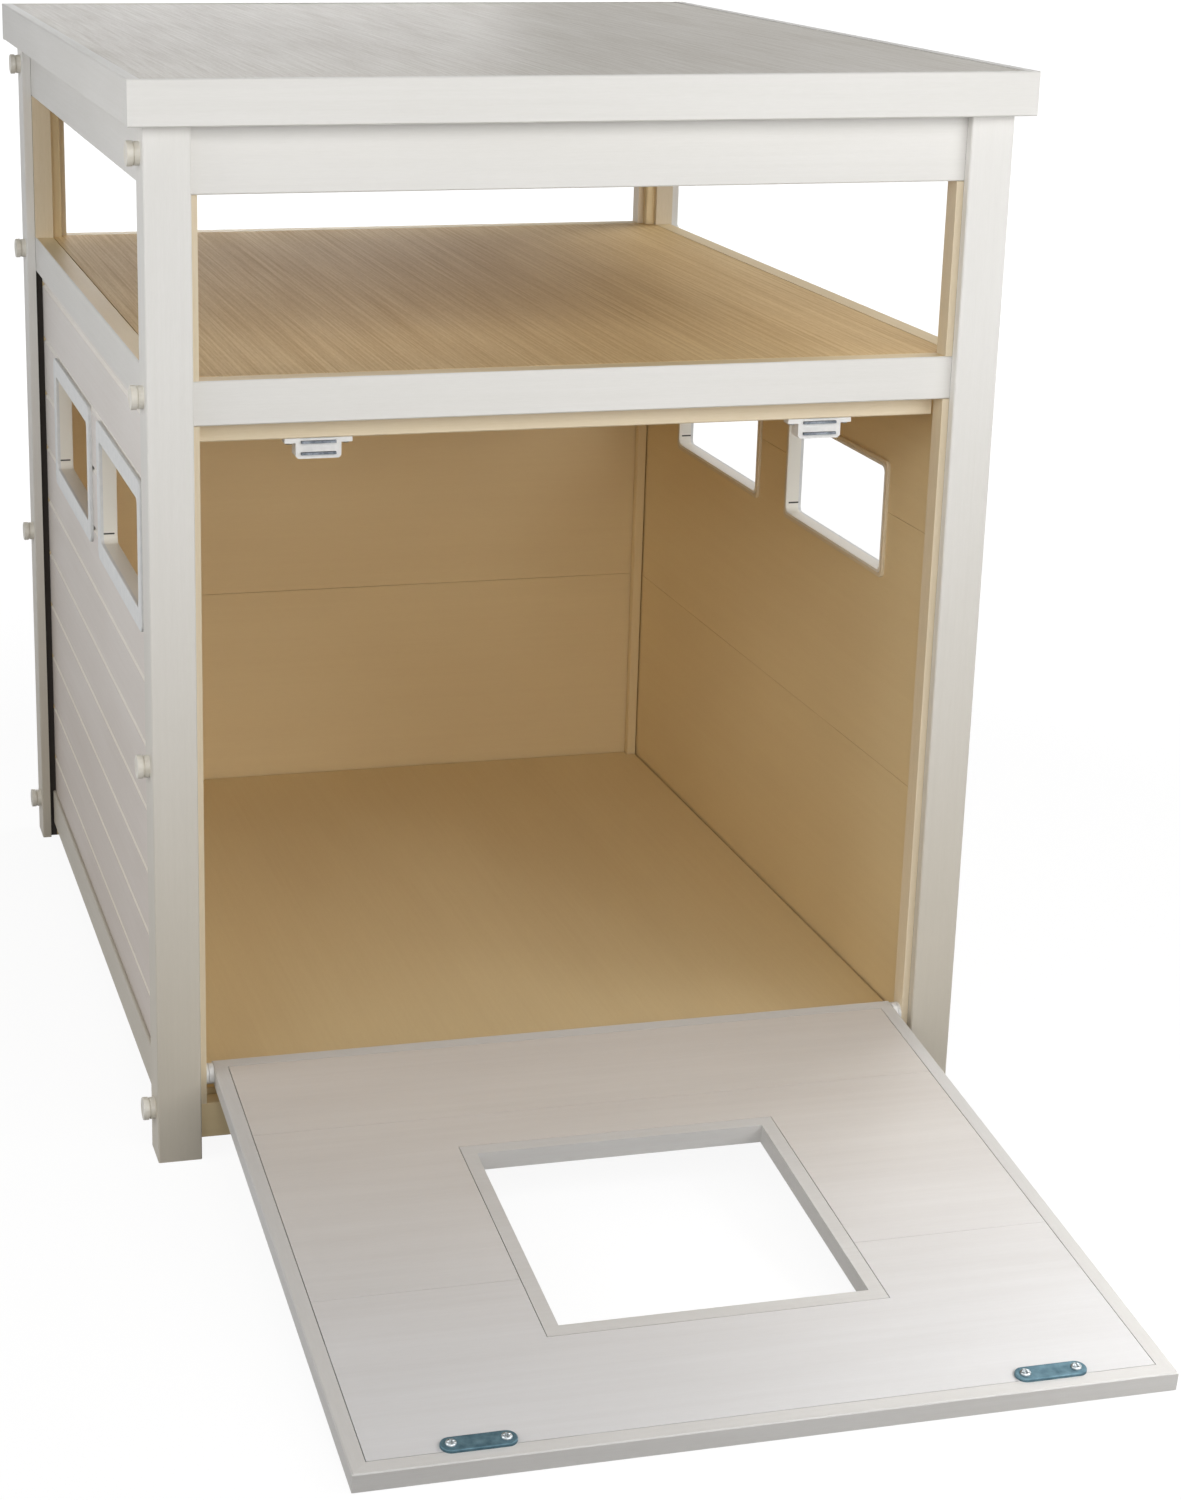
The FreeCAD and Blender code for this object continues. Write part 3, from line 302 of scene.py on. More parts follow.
def paint_mask(tree: Tree, coordinates: Socket, shell: PaintShell) -> Socket:
    """1 where a profile is painted and 0 where it is bare.

    It is 1 where the absolute X is over the shell's half width, or the absolute distance of Y
    from the middle is over its half depth.

    Args:
        tree: The material's nodes.
        coordinates: Object coordinates.
        shell: The box that the paint doesn't reach into.

    Returns:
        1 or 0.
    """
    axes = add_node(tree, "ShaderNodeSeparateXYZ", inputs={0: coordinates}).outputs
    middle = calculated(tree, "SUBTRACT", axes["Y"], shell.middle_y * MM)
    beside, before = (
        calculated(tree, "GREATER_THAN", calculated(tree, "ABSOLUTE", distance), limit * MM)
        for distance, limit in ((axes["X"], shell.half_width), (middle, shell.half_depth))
    )
    return calculated(tree, "MAXIMUM", beside, before)


# Finishes


@dataclass(frozen=True)
class Composite:
    """Wood-and-plastic composite, extruded and either painted or left bare.

    Wood flour in the plastic gives fine streaks along the extrusion and a faint mottling. Paint
    covers the colour but follows the streaks' relief, so a painted face is satin with slight
    streaks, and a bare one is tan, warmer and more strongly streaked. A painted shade colour is
    multiplied over the colour, in full at the first height of its span and not at all at the
    second, and stands in for the shade towards the floor or at the door's hinge. Sizes,
    heights and depths are in millimetres.
    """

    name: str
    light: str
    dark: str
    streak_width: float = 3.2
    streak_length: float = 170.0
    streak_share: float = 0.9
    mottle_size: float = 55.0
    mottle_share: float = 0.6
    fleck_share: float = 0.35
    roughness: float = 0.5
    relief: float = 0.12
    gloss: float = 0.5
    # Painted shade: a colour multiplied over the finish, in full at the first height of the span
    shade_tint: str = ""
    shade_span: tuple[float, float] = (0.0, 620.0)
    fleck_width: float = 0.9
    fleck_length: float = 9.0
    fleck_relief: float = 0.4
    mottle_stretch: float = 4.0
    roughness_span: float = 0.1
    refraction: float = 1.49
    relief_depth: float = 0.6

    def pattern(self, tree: Tree, coordinates: Socket, grain: Grain) -> tuple[Socket, Socket]:
        """The share of the light colour, and the height of the surface.

        Args:
            tree: The material's nodes.
            coordinates: Object coordinates.
            grain: Direction of the extrusion.

        Returns:
            The share of the light colour from 0 to 1, and a height about 0.5.
        """
        layers = (
            (self.streak_share, self.streak_width, self.streak_length, 3.0, 0.6),
            (self.fleck_share, self.fleck_width, self.fleck_length, 1.0, 0.5),
            (self.mottle_share, self.mottle_size, self.mottle_stretch * self.mottle_size, 2.0, 0.5),
        )
        noises = []
        total: object = 0.5 - sum(layer[0] for layer in layers)
        for layer_share, width, length, detail, falloff in layers:
            cell = [width] * 3
            cell[grain.value] = length
            noises.append(noise_value(tree, coordinates, cell, detail, falloff))
            total = weighted(tree, noises[-1], 2 * layer_share, total)
        streaks, flecks, _ = noises
        height = weighted(tree, flecks, self.fleck_relief, streaks)
        return remapped(tree, total, (0.0, 1.0), (0.0, 1.0)), height

    def colour(self, tree: Tree, coordinates: Socket, share: Socket) -> Socket:
        """The colour, under its painted shade where it has one.

        Args:
            tree: The material's nodes.
            coordinates: Object coordinates.
            share: The share of the light colour.

        Returns:
            The colour.
        """
        plain = blended(tree, share, linear(self.dark), linear(self.light))
        if not self.shade_tint:
            return plain
        ramp = height_ramp(tree, coordinates, self.shade_span)
        return blended(tree, ramp, plain, linear(self.shade_tint), "MULTIPLY")

    def roughness_at(self, tree: Tree, share: Socket) -> Socket:
        """The roughness, a little lower where the light colour is."""
        highest = self.roughness + self.roughness_span / 2
        return weighted(tree, share, -self.roughness_span, highest)


@dataclass(frozen=True)
class Coat:
    """A finish laid over a profile wherever it is outside a box."""

    finish: Composite
    shell: PaintShell


@cache
def composite_material(core: Composite, grain: Grain, *coats: Coat) -> bpy.types.Material:
    """The material of an extruded profile: its bare finish, and coats on its outer faces.

    Args:
        core: The finish of the whole profile, or of what the coats leave bare.
        grain: Direction of the extrusion.
        coats: Finishes laid over it, from the inmost outwards.

    Returns:
        The material, which is made once for the same finishes.
    """
    outer = coats[-1].finish if coats else core
    name = f"{outer.name}_on_{core.name}" if coats else core.name
    material, tree = new_material(f"{name}_{grain.name.lower()}")
    coordinates = add_node(tree, "ShaderNodeTexCoord").outputs["Object"]
    share, height = core.pattern(tree, coordinates, grain)
    colour = core.colour(tree, coordinates, share)
    roughness = core.roughness_at(tree, share)
    for coat in coats:
        paint = paint_mask(tree, coordinates, coat.shell)
        finish = coat.finish
        share, coat_height = finish.pattern(tree, coordinates, grain)
        colour = blended(tree, paint, colour, finish.colour(tree, coordinates, share))
        roughness = blended(tree, paint, roughness, finish.roughness_at(tree, share))
        height = blended(tree, paint, height, coat_height)
    bump = {"Strength": outer.relief, "Distance": outer.relief_depth * MM, "Height": height}
    optics = {"IOR": outer.refraction, "Specular_IOR_Level": outer.gloss}
    close_surface(tree, colour, roughness, bump, **optics)
    return material


@dataclass(frozen=True)
class MouldedPlastic:
    """Injection-moulded plastic: an even colour, a slight haze and a fine spark-eroded texture.

    Inside a shell, as in the sleeve of a window, it may be of another colour.
    """

    name: str
    light: str
    dark: str
    roughness: float = 0.38
    sleeve: str = ""
    shell: Optional[PaintShell] = None
    cloud_size: float = 7.0
    spark_size: float = 0.5
    relief: float = 0.08
    relief_depth: float = 0.2
    refraction: float = 1.46

    @cache
    def material(self) -> bpy.types.Material:
        """The finish as a material.

        Returns:
            The material, which is made once.
        """
        material, tree = new_material(self.name)
        coordinates = add_node(tree, "ShaderNodeTexCoord").outputs["Object"]
        cloud = noise_value(tree, coordinates, (self.cloud_size,) * 3, 2.0, 0.5)
        texture = noise_value(tree, coordinates, (self.spark_size,) * 3, 1.0, 0.5)
        share = remapped(tree, cloud, (0.3, 0.7), (0.0, 1.0))
        colour = blended(tree, share, linear(self.dark), linear(self.light))
        if self.shell:
            outside = paint_mask(tree, coordinates, self.shell)
            colour = blended(tree, outside, linear(self.sleeve), colour)
        roughness = weighted(tree, texture, 0.1, self.roughness - 0.05)
        bump = {"Strength": self.relief, "Distance": self.relief_depth * MM, "Height": texture}
        close_surface(tree, colour, roughness, bump, IOR=self.refraction)
        return material


@dataclass(frozen=True)
class PlatedSteel:
    """Pressed steel with a thin plating: metallic, with cloudy patches and rolling marks."""

    name: str
    light: str
    dark: str
    roughness: float = 0.34
    cloud_size: float = 9.0
    scratch_cell: tuple[float, float, float] = (14.0, 0.35, 0.35)
    relief: float = 0.1
    relief_depth: float = 0.1

    @cache
    def material(self) -> bpy.types.Material:
        """The finish as a material.

        Returns:
            The material, which is made once.
        """
        material, tree = new_material(self.name)
        coordinates = add_node(tree, "ShaderNodeTexCoord").outputs["Object"]
        cloud = noise_value(tree, coordinates, (self.cloud_size,) * 3, 3.0, 0.6)
        marks = noise_value(tree, coordinates, self.scratch_cell, 2.0, 0.6)
        share = remapped(tree, cloud, (0.32, 0.68), (0.0, 1.0))
        colour = blended(tree, share, linear(self.dark), linear(self.light))
        roughness = weighted(tree, marks, 0.2, self.roughness - 0.1)
        bump = {"Strength": self.relief, "Distance": self.relief_depth * MM, "Height": marks}
        close_surface(tree, colour, roughness, bump, Metallic=1.0)
        return material


# Satin paint on posts, rails and edging: an even off-white, with painted shade that greys
# and warms it towards the feet
OFF_WHITE = Composite(
    name="off_white_satin_paint",
    light="EDEBE7",
    dark="E6E4DF",
    streak_share=0.45,
    fleck_share=0.3,
    relief=0.06,
    shade_tint="DAD3C6",
)
# The same paint, with the same painted shade, where it runs over the ledge of the bottom rails
LEDGE_WHITE = replace(OFF_WHITE, name="off_white_paint_over_the_ledge")
# Paint on the wall boards, warmer than on the posts because it is thinner, with painted
# shade that darkens it towards the floor
BOARD_PAINT = Composite(
    name="warm_white_board_paint",
    light="F2EDE8",
    dark="EAE4DE",
    streak_share=0.4,
    fleck_share=0.2,
    relief=0.05,
    shade_tint="E0D8D1",
)
# Paint in the V-grooves, lighter than on the boards as painted light that offsets the shade in
# the grooves, so they read as pale lines; painted shade darkens it towards the floor
GROOVE_CREAM = Composite(
    name="cream_groove_paint",
    light="FFFCF7",
    dark="FAF5ED",
    streak_share=0.3,
    mottle_share=0.4,
    fleck_share=0.1,
    shade_tint="F7F2E9",
)
# Printed wood grain on the table top, the greyest and most streaked of the painted faces
TOP_PAINT = Composite(
    name="grey_white_wood_grain_paint",
    light="D9D4CB",
    dark="C3BCB0",
    streak_width=2.4,
    streak_length=120.0,
    streak_share=1.0,
    mottle_share=0.4,
    fleck_share=0.4,
    roughness=0.45,
    relief=0.15,
    gloss=0.22,
)
# Paint on the door's boards: cooler and more even than on the walls, with a painted warm
# shade that makes it warmer at the hinge
DOOR_PAINT = Composite(
    name="thin_white_board_paint",
    light="DBDADA",
    dark="D2D0CF",
    streak_width=7.0,
    streak_length=300.0,
    streak_share=0.5,
    mottle_share=0.7,
    fleck_share=0.2,
    relief=0.06,
    shade_tint="FFF9F1",
    shade_span=(60.0, 15.0),
)
# Paint on the door's edging, a shade warmer than its boards, so that their seams show
TRIM_PAINT = Composite(
    name="white_door_edging_paint",
    light="D6D4D1",
    dark="CCC9C5",
    streak_share=0.4,
    mottle_share=0.5,
    fleck_share=0.2,
    relief=0.05,
)
# The composite's own colour, where no paint covers it: a warm tan with hardly any grain
BARE_TAN = Composite(
    name="bare_tan_composite",
    light="EDD8AB",
    dark="E7D0A3",
    streak_width=5.5,
    streak_length=260.0,
    streak_share=0.35,
    mottle_size=70.0,
    fleck_share=0.25,
    relief=0.04,
)
# The shelf has fine dark pores along its length, drawn about twice as wide as they are to show
SHELF_TAN = Composite(
    name="tan_wood_grain_composite",
    light="F2D59F",
    dark="D7B57F",
    streak_width=1.9,
    streak_length=240.0,
    streak_share=1.1,
    mottle_share=0.35,
    fleck_share=0.35,
    roughness=0.62,
    relief=0.1,
    gloss=0.22,
)
# The floor panel is smooth, so it reads as one even tan plane
FLOOR_TAN = Composite(
    name="smooth_tan_composite",
    light="E9D5A9",
    dark="E2CCA0",
    streak_width=3.0,
    streak_length=200.0,
    streak_share=0.4,
    mottle_share=0.5,
    fleck_share=0.25,
    relief=0.05,
)
# Dark painted shadow in the open slot between a post and the boards, laid on the outer
# corners of the posts' grooves
GROOVE_SHADOW = Composite(
    name="dark_raw_core", light="37302A", dark="2A2521", streak_share=0.4, roughness=0.8
)
# Filler strips, batten and inner rings: a pale cream line between white outside and tan inside
STRIP_CREAM = Composite(
    name="cream_strip", light="EADBC1", dark="DFCFAF", streak_width=2.0, streak_share=0.5
)
# Catch housings and bushes, the whitest plastic on the cabinet
WHITE_NYLON = MouldedPlastic(name="white_moulded_nylon", light="F1F0EE", dark="E4E4E2")
# Window edgings: a cool white lip on the wall and a warmer sleeve through it
EDGING_PLASTIC = MouldedPlastic(
    name="cool_white_moulded_edging",
    light="E6E7E6",
    dark="DDDFDF",
    sleeve="F1EEE4",
    shell=EDGING_SHELL,
)
# Locking pegs, a touch yellower than the posts, so that each stands out as a dot
PEG_PLASTIC = MouldedPlastic(name="ivory_moulded_pegs", light="EEEAE0", dark="E2DCCE")
# Painted shadow in the tool slots: a dark pad that reads as a fine dark line
SLOT_SHADE = MouldedPlastic(
    name="shaded_slot_in_the_edging", light="4A4742", dark="3B3935", roughness=0.8
)
# Strike plates: the blue sheen of passivated zinc
BLUE_ZINC = PlatedSteel(name="blue_zinc_plate", light="6A8691", dark="46606B", roughness=0.6)
# Screw heads, brighter than the plates that they hold
SCREW_ZINC = PlatedSteel(
    name="zinc_screw_steel", light="B9BFC2", dark="8B9295", roughness=0.3, cloud_size=3.0
)
# Magnets and pole plates, the dark stripes in the catches
POLE_STEEL = PlatedSteel(
    name="dark_pole_steel", light="8C9299", dark="4E545B", roughness=0.4, cloud_size=4.0
)


# Shapes as numpy grids


def grid_quads(rows: int, columns: int, closed_rows: bool) -> np.ndarray:
    """Faces of a grid whose columns close into rings.

    Vertex (i, j) has the number i times columns plus j. Each face joins row i with row i + 1 and
    column j with column j + 1, where the last column is followed by the first, and so is the last
    row when closed_rows is set.

    Args:
        rows: Number of rings.
        columns: Number of vertices in a ring.
        closed_rows: Whether the last ring joins the first.

    Returns:
        One row of four vertex numbers for each face.
    """
    row = np.arange(rows if closed_rows else rows - 1)[:, None]
    column = np.arange(columns)[None, :]
    next_row = (row + 1) % rows
    next_column = (column + 1) % columns
    corners = (
        row * columns + column,
        row * columns + next_column,
        next_row * columns + next_column,
        next_row * columns + column,
    )
    return np.stack([np.broadcast_to(c, (len(row), columns)) for c in corners], -1).reshape(-1, 4)


def capped_quads(rows: int, columns: int) -> list[list[int]]:
    """Faces of a stack of rings that is closed by a flat cap at each end.

    Args:
        rows: Number of rings.
        columns: Number of vertices in a ring.

    Returns:
        Vertex numbers of each face.
    """
    faces = grid_quads(rows, columns, False).tolist()
    faces.append(list(range(columns))[::-1])
    faces.append(list(range((rows - 1) * columns, rows * columns)))
    return faces


def softened(points: np.ndarray, reach: np.ndarray, steps: int = 4) -> np.ndarray:
    """A closed outline with its corners rounded.

    Each corner becomes a parabola: it leaves the incoming side at reach before the corner, and
    meets the outgoing side at reach after it. With t from 0 to 1 its points are (1 - t) squared
    times the start, plus 2 t (1 - t) times the corner, plus t squared times the end.

    Args:
        points: Corners as rows of two numbers.
        reach: For each corner, the length of side that its rounding takes.
        steps: Number of spans in each rounding.

    Returns:
        The rounded outline as rows of two numbers.
    """
    before = np.roll(points, 1, axis=0) - points
    after = np.roll(points, -1, axis=0) - points
    before = before / np.linalg.norm(before, axis=1, keepdims=True)
    after = after / np.linalg.norm(after, axis=1, keepdims=True)
    start = points + before * reach[:, None]
    end = points + after * reach[:, None]
    t = np.linspace(0.0, 1.0, steps + 1)[None, :, None]
    arc = (1 - t) ** 2 * start[:, None] + 2 * t * (1 - t) * points[:, None] + t**2 * end[:, None]
    return arc.reshape(-1, 2)


def rounded_rectangle_rings(
    length: float, height: float, inset: np.ndarray, radius: np.ndarray, steps: int
) -> tuple[np.ndarray, np.ndarray]:
    """Rings round a rectangle, each drawn in by its inset and with its own corner radius.

    A ring's corner centres lie at half the side less the inset and the radius. Round each centre
    the angle runs through a quarter turn, and a point is the centre plus the radius times the
    cosine and sine of the angle.

    Args:
        length: First side of the outer rectangle.
        height: Second side of the outer rectangle.
        inset: Distance of each ring from the outer rectangle.
        radius: Corner radius of each ring.
        steps: Number of spans in each corner.

    Returns:
        The first and second coordinate, one row for each ring.
    """
    quarter = np.linspace(0.0, math.pi / 2, steps + 1)
    angle = (quarter[None, :] + np.arange(4)[:, None] * math.pi / 2).reshape(-1)
    sign_first = np.repeat(np.array([1, -1, -1, 1]), steps + 1)
    sign_second = np.repeat(np.array([1, 1, -1, -1]), steps + 1)
    first_reach = (length / 2 - inset - radius)[:, None]
    second_reach = (height / 2 - inset - radius)[:, None]
    first = sign_first * first_reach + radius[:, None] * np.cos(angle)
    second = sign_second * second_reach + radius[:, None] * np.sin(angle)
    return first, second


def polar_solid(radius: np.ndarray, height: np.ndarray, columns: int) -> Shape:
    """A closed turned body about the third axis.

    Ring i has the radius i, and its vertex at the angle a lies at (radius cos a, radius sin a,
    height). The height may be one number for a ring or one for each vertex of it. The first and
    the last ring are closed by a fan to a pole at their mean height.

    Args:
        radius: Radius of each ring.
        height: Height of each ring, as a column or as a full grid.
        columns: Number of vertices in a ring.

    Returns:
        Vertices in millimetres and faces.
    """
    angle = np.arange(columns) * 2 * math.pi / columns
    height_grid = np.broadcast_to(height.reshape(len(radius), -1), (len(radius), columns))
    rings = np.stack(
        [radius[:, None] * np.cos(angle), radius[:, None] * np.sin(angle), height_grid], -1
    ).reshape(-1, 3)
    poles = np.array([[0.0, 0.0, height_grid[0].mean()], [0.0, 0.0, height_grid[-1].mean()]])
    first_pole = len(rings)
    column = np.arange(columns)
    following = (column + 1) % columns
    last_ring = (len(radius) - 1) * columns
    start_fan = np.stack([np.full(columns, first_pole), following, column], -1)
    end_fan = np.stack(
        [np.full(columns, first_pole + 1), last_ring + column, last_ring + following], -1
    )
    faces = grid_quads(len(radius), columns, False).tolist() + start_fan.tolist() + end_fan.tolist()
    return np.vstack([rings, poles]), faces


def signed_volume(vertices: np.ndarray, faces: Sequence[Sequence[int]]) -> float:
    """Volume of a closed mesh, negative where its faces point inwards.

    It adds up the triple products of each face's triangles, fanned from its first corner.

    Args:
        vertices: Places of the vertices.
        faces: Vertex numbers of each face.

    Returns:
        The volume in the vertices' own unit.
    """
    total = 0.0
    for count in sorted({len(face) for face in faces}):
        corners = vertices[np.array([face for face in faces if len(face) == count])]
        for step in range(1, count - 1):
            cross = np.cross(corners[:, step], corners[:, step + 1])
            total += float(np.einsum("ij,ij->i", corners[:, 0], cross).sum()) / 6
    return total


def make_piece(
    name: str,
    shape: Shape,
    material: bpy.types.Material,
    body: Body,
    replaced: Sequence[str] = (),
) -> bpy.types.Object:
    """Adds a finished piece to the scene.

    Args:
        name: The piece's plain name.
        shape: Its places in the row frame and its faces, of one closed mesh or more.
        material: Its finish.
        body: The body that it moves with.
        replaced: CAD nodes that it stands for.

    Returns:
        The object, with its place in its mesh.
    """
    vertices, faces = shape
    if signed_volume(vertices, faces) < 0:
        faces = [list(reversed(face)) for face in faces]
    mesh = bpy.data.meshes.new(name)
    mesh.from_pydata((vertices * MM).tolist(), [], faces)
    mesh.materials.append(material)
    mesh.shade_smooth()
    mesh.set_sharp_from_angle(angle=math.radians(40))
    mesh.validate()
    piece = bpy.data.objects.new(name, mesh)
    bpy.context.scene.collection.objects.link(piece)
    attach(piece, body.value)
    if replaced:
        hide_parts(*replaced)
    return piece


def joined(parts: Sequence[Shape]) -> Shape:
    """Joins closed meshes into one, moving the later ones' face numbers on.

    Args:
        parts: The meshes.

    Returns:
        Vertices in millimetres and faces.
    """
    faces: list[list[int]] = []
    count = 0
    for vertices, part_faces in parts:
        faces.extend((np.array(face) + count).tolist() for face in part_faces)
        count += len(vertices)
    return np.vstack([vertices for vertices, _ in parts]), faces


def box_mm(node: str) -> tuple[np.ndarray, np.ndarray]:
    """Lowest and highest corner of a CAD node, in millimetres."""
    low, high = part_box(node)
    return np.array(low) / MM, np.array(high) / MM


def dress(nodes: Sequence[str], material: bpy.types.Material) -> None:
    """Gives CAD nodes a finish, in all their material slots.

    Args:
        nodes: Names of the nodes.
        material: The finish.
    """
    for name in nodes:
        for slot in frame["nodes"][name].material_slots:
            slot.material = material


# Sub-assemblies


@dataclass
class TableTop:
    """The grained top panel with its edging of four lengths."""

    panel: str = "top_panel"
    edging_sides: tuple[str, ...] = ("left", "right")
    edging_ends: tuple[str, ...] = ("front", "rear")

    def build(self) -> int:
        """Dresses the panel and the edging.

        Returns:
            The number of pieces.
        """
        dress([self.panel], composite_material(TOP_PAINT, Grain.ALONG_Y))
        sides = [f"top_edging_{side}" for side in self.edging_sides]
        ends = [f"top_edging_{end}" for end in self.edging_ends]
        dress(sides, composite_material(OFF_WHITE, Grain.ALONG_Y))
        dress(ends, composite_material(OFF_WHITE, Grain.ALONG_X))
        return 1 + len(sides) + len(ends)


@dataclass
class PostsAndRails:
    """The four grooved posts, the twelve rails between them, the filler strips and the batten."""

    corners: tuple[str, ...] = ("front_left", "front_right", "rear_left", "rear_right")
    levels: tuple[str, ...] = ("top_rail", "shelf_rail")

    def build(self) -> int:
        """Dresses posts, rails and strips.

        Returns:
            The number of pieces.
        """
        posts = [f"post_{corner}" for corner in self.corners]
        # A dark painted shadow lies on the grooves' outer corners, under the paint
        coats = (Coat(GROOVE_SHADOW, SHADED_SHELL), Coat(OFF_WHITE, POST_SHELL))
        dress(posts, composite_material(BARE_TAN, Grain.ALONG_Z, *coats))
        across = [f"{level}_{end}" for level in self.levels for end in ("front", "rear")]
        along = [f"{level}_{side}" for level in self.levels for side in ("left", "right")]
        dress(across, composite_material(BARE_TAN, Grain.ALONG_X, Coat(OFF_WHITE, RAIL_SHELL)))
        dress(along, composite_material(BARE_TAN, Grain.ALONG_Y, Coat(OFF_WHITE, RAIL_SHELL)))
        low_coat = Coat(LEDGE_WHITE, LOW_RAIL_SHELL)
        low_sides = ["bottom_rail_left", "bottom_rail_right"]
        dress(low_sides, composite_material(BARE_TAN, Grain.ALONG_Y, low_coat))
        dress(["bottom_rail_rear"], composite_material(BARE_TAN, Grain.ALONG_X, low_coat))
        dress(["bottom_rail_front"], composite_material(BARE_TAN, Grain.ALONG_X))
        dress(["groove_strips"], composite_material(STRIP_CREAM, Grain.ALONG_Z))
        dress(["catch_batten"], composite_material(STRIP_CREAM, Grain.ALONG_X))
        return len(posts) + len(across) + len(along) + len(low_sides) + 4


@dataclass
class Boards:
    """The wall boards, painted outside and bare inside, and the shelf and floor panels."""

    courses: tuple[str, ...] = ("lower", "middle", "upper")

    def build(self) -> int:
        """Dresses the boards and panels.

        Returns:
            The number of pieces.
        """
        sides = [f"{side}_board_{course}" for side in ("left", "right") for course in self.courses]
        rear = [f"rear_board_{course}" for course in self.courses]
        coats = (Coat(GROOVE_CREAM, GROOVE_SHELL), Coat(BOARD_PAINT, BOARD_SHELL))
        dress(sides, composite_material(BARE_TAN, Grain.ALONG_Y, *coats))
        dress(rear, composite_material(BARE_TAN, Grain.ALONG_X, *coats))
        dress(["shelf_panel"], composite_material(SHELF_TAN, Grain.ALONG_Y))
        dress(["floor_panel"], composite_material(FLOOR_TAN, Grain.ALONG_Y))
        return len(sides) + len(rear) + 2


@dataclass
class WindowEdgings:
    """The clamped edging of the four windows: a flanged sleeve outside and a ring inside.

    The flange and the ring are carried round a rounded rectangle, so their corners turn smoothly
    and both lips have softened edges. Across the rear jamb, just over the sill, a dark pad is
    painted as the shadow in the thin slot that takes the tool that opens the clamp.
    """

    lip_width: float = 12.8
    border: float = 15.0
    lip: float = 2.5
    ring_inset: float = 9.8
    corner: float = 8.0
    least_corner: float = 5.0
    ring_corner: float = 5.0
    softness: float = 0.9
    corner_steps: int = 8
    slot_height: float = 7.0
    slot_gauge: float = 1.2
    slot_margin: float = 2.5
    slot_depth: float = 0.3
    slot_proud: float = 0.1

    def carried(self, outline: np.ndarray, radius: np.ndarray, node: str, side: Side) -> Shape:
        """An outline carried round a window.

        A point of the outline has an inset from the flange's outer edge and a distance from the
        cabinet's middle plane. Its ring is the window's rounded rectangle drawn in by the inset.

        Args:
            outline: Rows of inset and distance from the middle plane.
            radius: Corner radius of each point's ring.
            node: The CAD node whose box gives the window's place and size.
            side: The side wall that it is in.

        Returns:
            Vertices in millimetres and faces.
        """
        low, high = box_mm(node)
        middle = (low + high) / 2
        inset, reach = outline[:, 0], outline[:, 1]
        along, up = rounded_rectangle_rings(
            high[1] - low[1], high[2] - low[2], inset, radius, self.corner_steps
        )
        across = np.broadcast_to(side.value * reach[:, None], along.shape)
        vertices = np.stack([across, along + middle[1], up + middle[2]], -1).reshape(-1, 3)
        return vertices, grid_quads(len(outline), along.shape[1], True).tolist()

    def flange(self, node: str, side: Side) -> Shape:
        """The flanged sleeve, with softened edges, from the node's box.

        Its corner radius runs from the flange's outer one to the least one at the sleeve.

        Args:
            node: The CAD node of the window's edging.
            side: The side wall that it is in.

        Returns:
            Vertices in millimetres and faces.
        """
        low, high = box_mm(node)
        outer = max(abs(low[0]), abs(high[0]))
        inner = min(abs(low[0]), abs(high[0]))
        corners = np.array(
            [
                (0.0, outer - self.lip),
                (0.0, outer),
                (self.border, outer),
                (self.border, inner),
                (self.lip_width, inner),
                (self.lip_width, outer - self.lip),
            ]
        )
        outline = softened(corners, self.softness * np.array([0.1, 1.0, 1.0, 0.6, 0.2, 0.1]))
        radius = np.maximum(self.corner - outline[:, 0], self.least_corner)
        return self.carried(outline, radius, node, side)

    def ring(self, node: str, wall: float, side: Side) -> Shape:
        """The inner ring round the sleeve's end, with softened edges.

        Args:
            node: The node of the window that it belongs to.
            wall: Distance of the wall's inner face from the middle plane.
            side: The side wall that it is in.

        Returns:
            Vertices in millimetres and faces.
        """
        inner = self.lip_width - 0.1
        corners = np.array(
            [
                (self.ring_inset, wall),
                (self.ring_inset, wall - self.lip),
                (inner, wall - self.lip),
                (inner, wall),
            ]
        )
        outline = softened(corners, self.softness * np.array([0.1, 0.9, 0.4, 0.1]))
        share = (outline[:, 0] - self.ring_inset) / (inner - self.ring_inset)
        radius = self.ring_corner + share * (self.least_corner - 1.0 - self.ring_corner)
        return self.carried(outline, radius, node, side)

    def slot_shadow_pad(self, node: str, side: Side) -> Shape:
        """The painted shadow of the slot across the rear jamb: a dark flat pad with rounded ends.

        Its section is a rounded rectangle in X and Z, and it stands a tenth of a millimetre
        over the jamb, as the shadow in the real slot shows.

        Args:
            node: The CAD node of the window's edging.
            side: The side wall that it is in.

        Returns:
            Vertices in millimetres and faces.
        """
        low, high = box_mm(node)
        jamb = high[1] - self.border
        length = high[0] - low[0] - 2 * self.slot_margin
        inset = np.array([0.0, 0.0, self.slot_proud])
        over = np.array([self.slot_depth, -0.6 * self.slot_proud, -self.slot_proud])
        across, up = rounded_rectangle_rings(length, self.slot_gauge, inset, inset + 0.3, 4)
        depth = np.broadcast_to(jamb + over[:, None], across.shape)
        sill = low[2] + self.border + self.slot_height
        vertices = np.stack([across + (low[0] + high[0]) / 2, depth, up + sill], -1).reshape(-1, 3)
        return vertices, capped_quads(len(inset), across.shape[1])

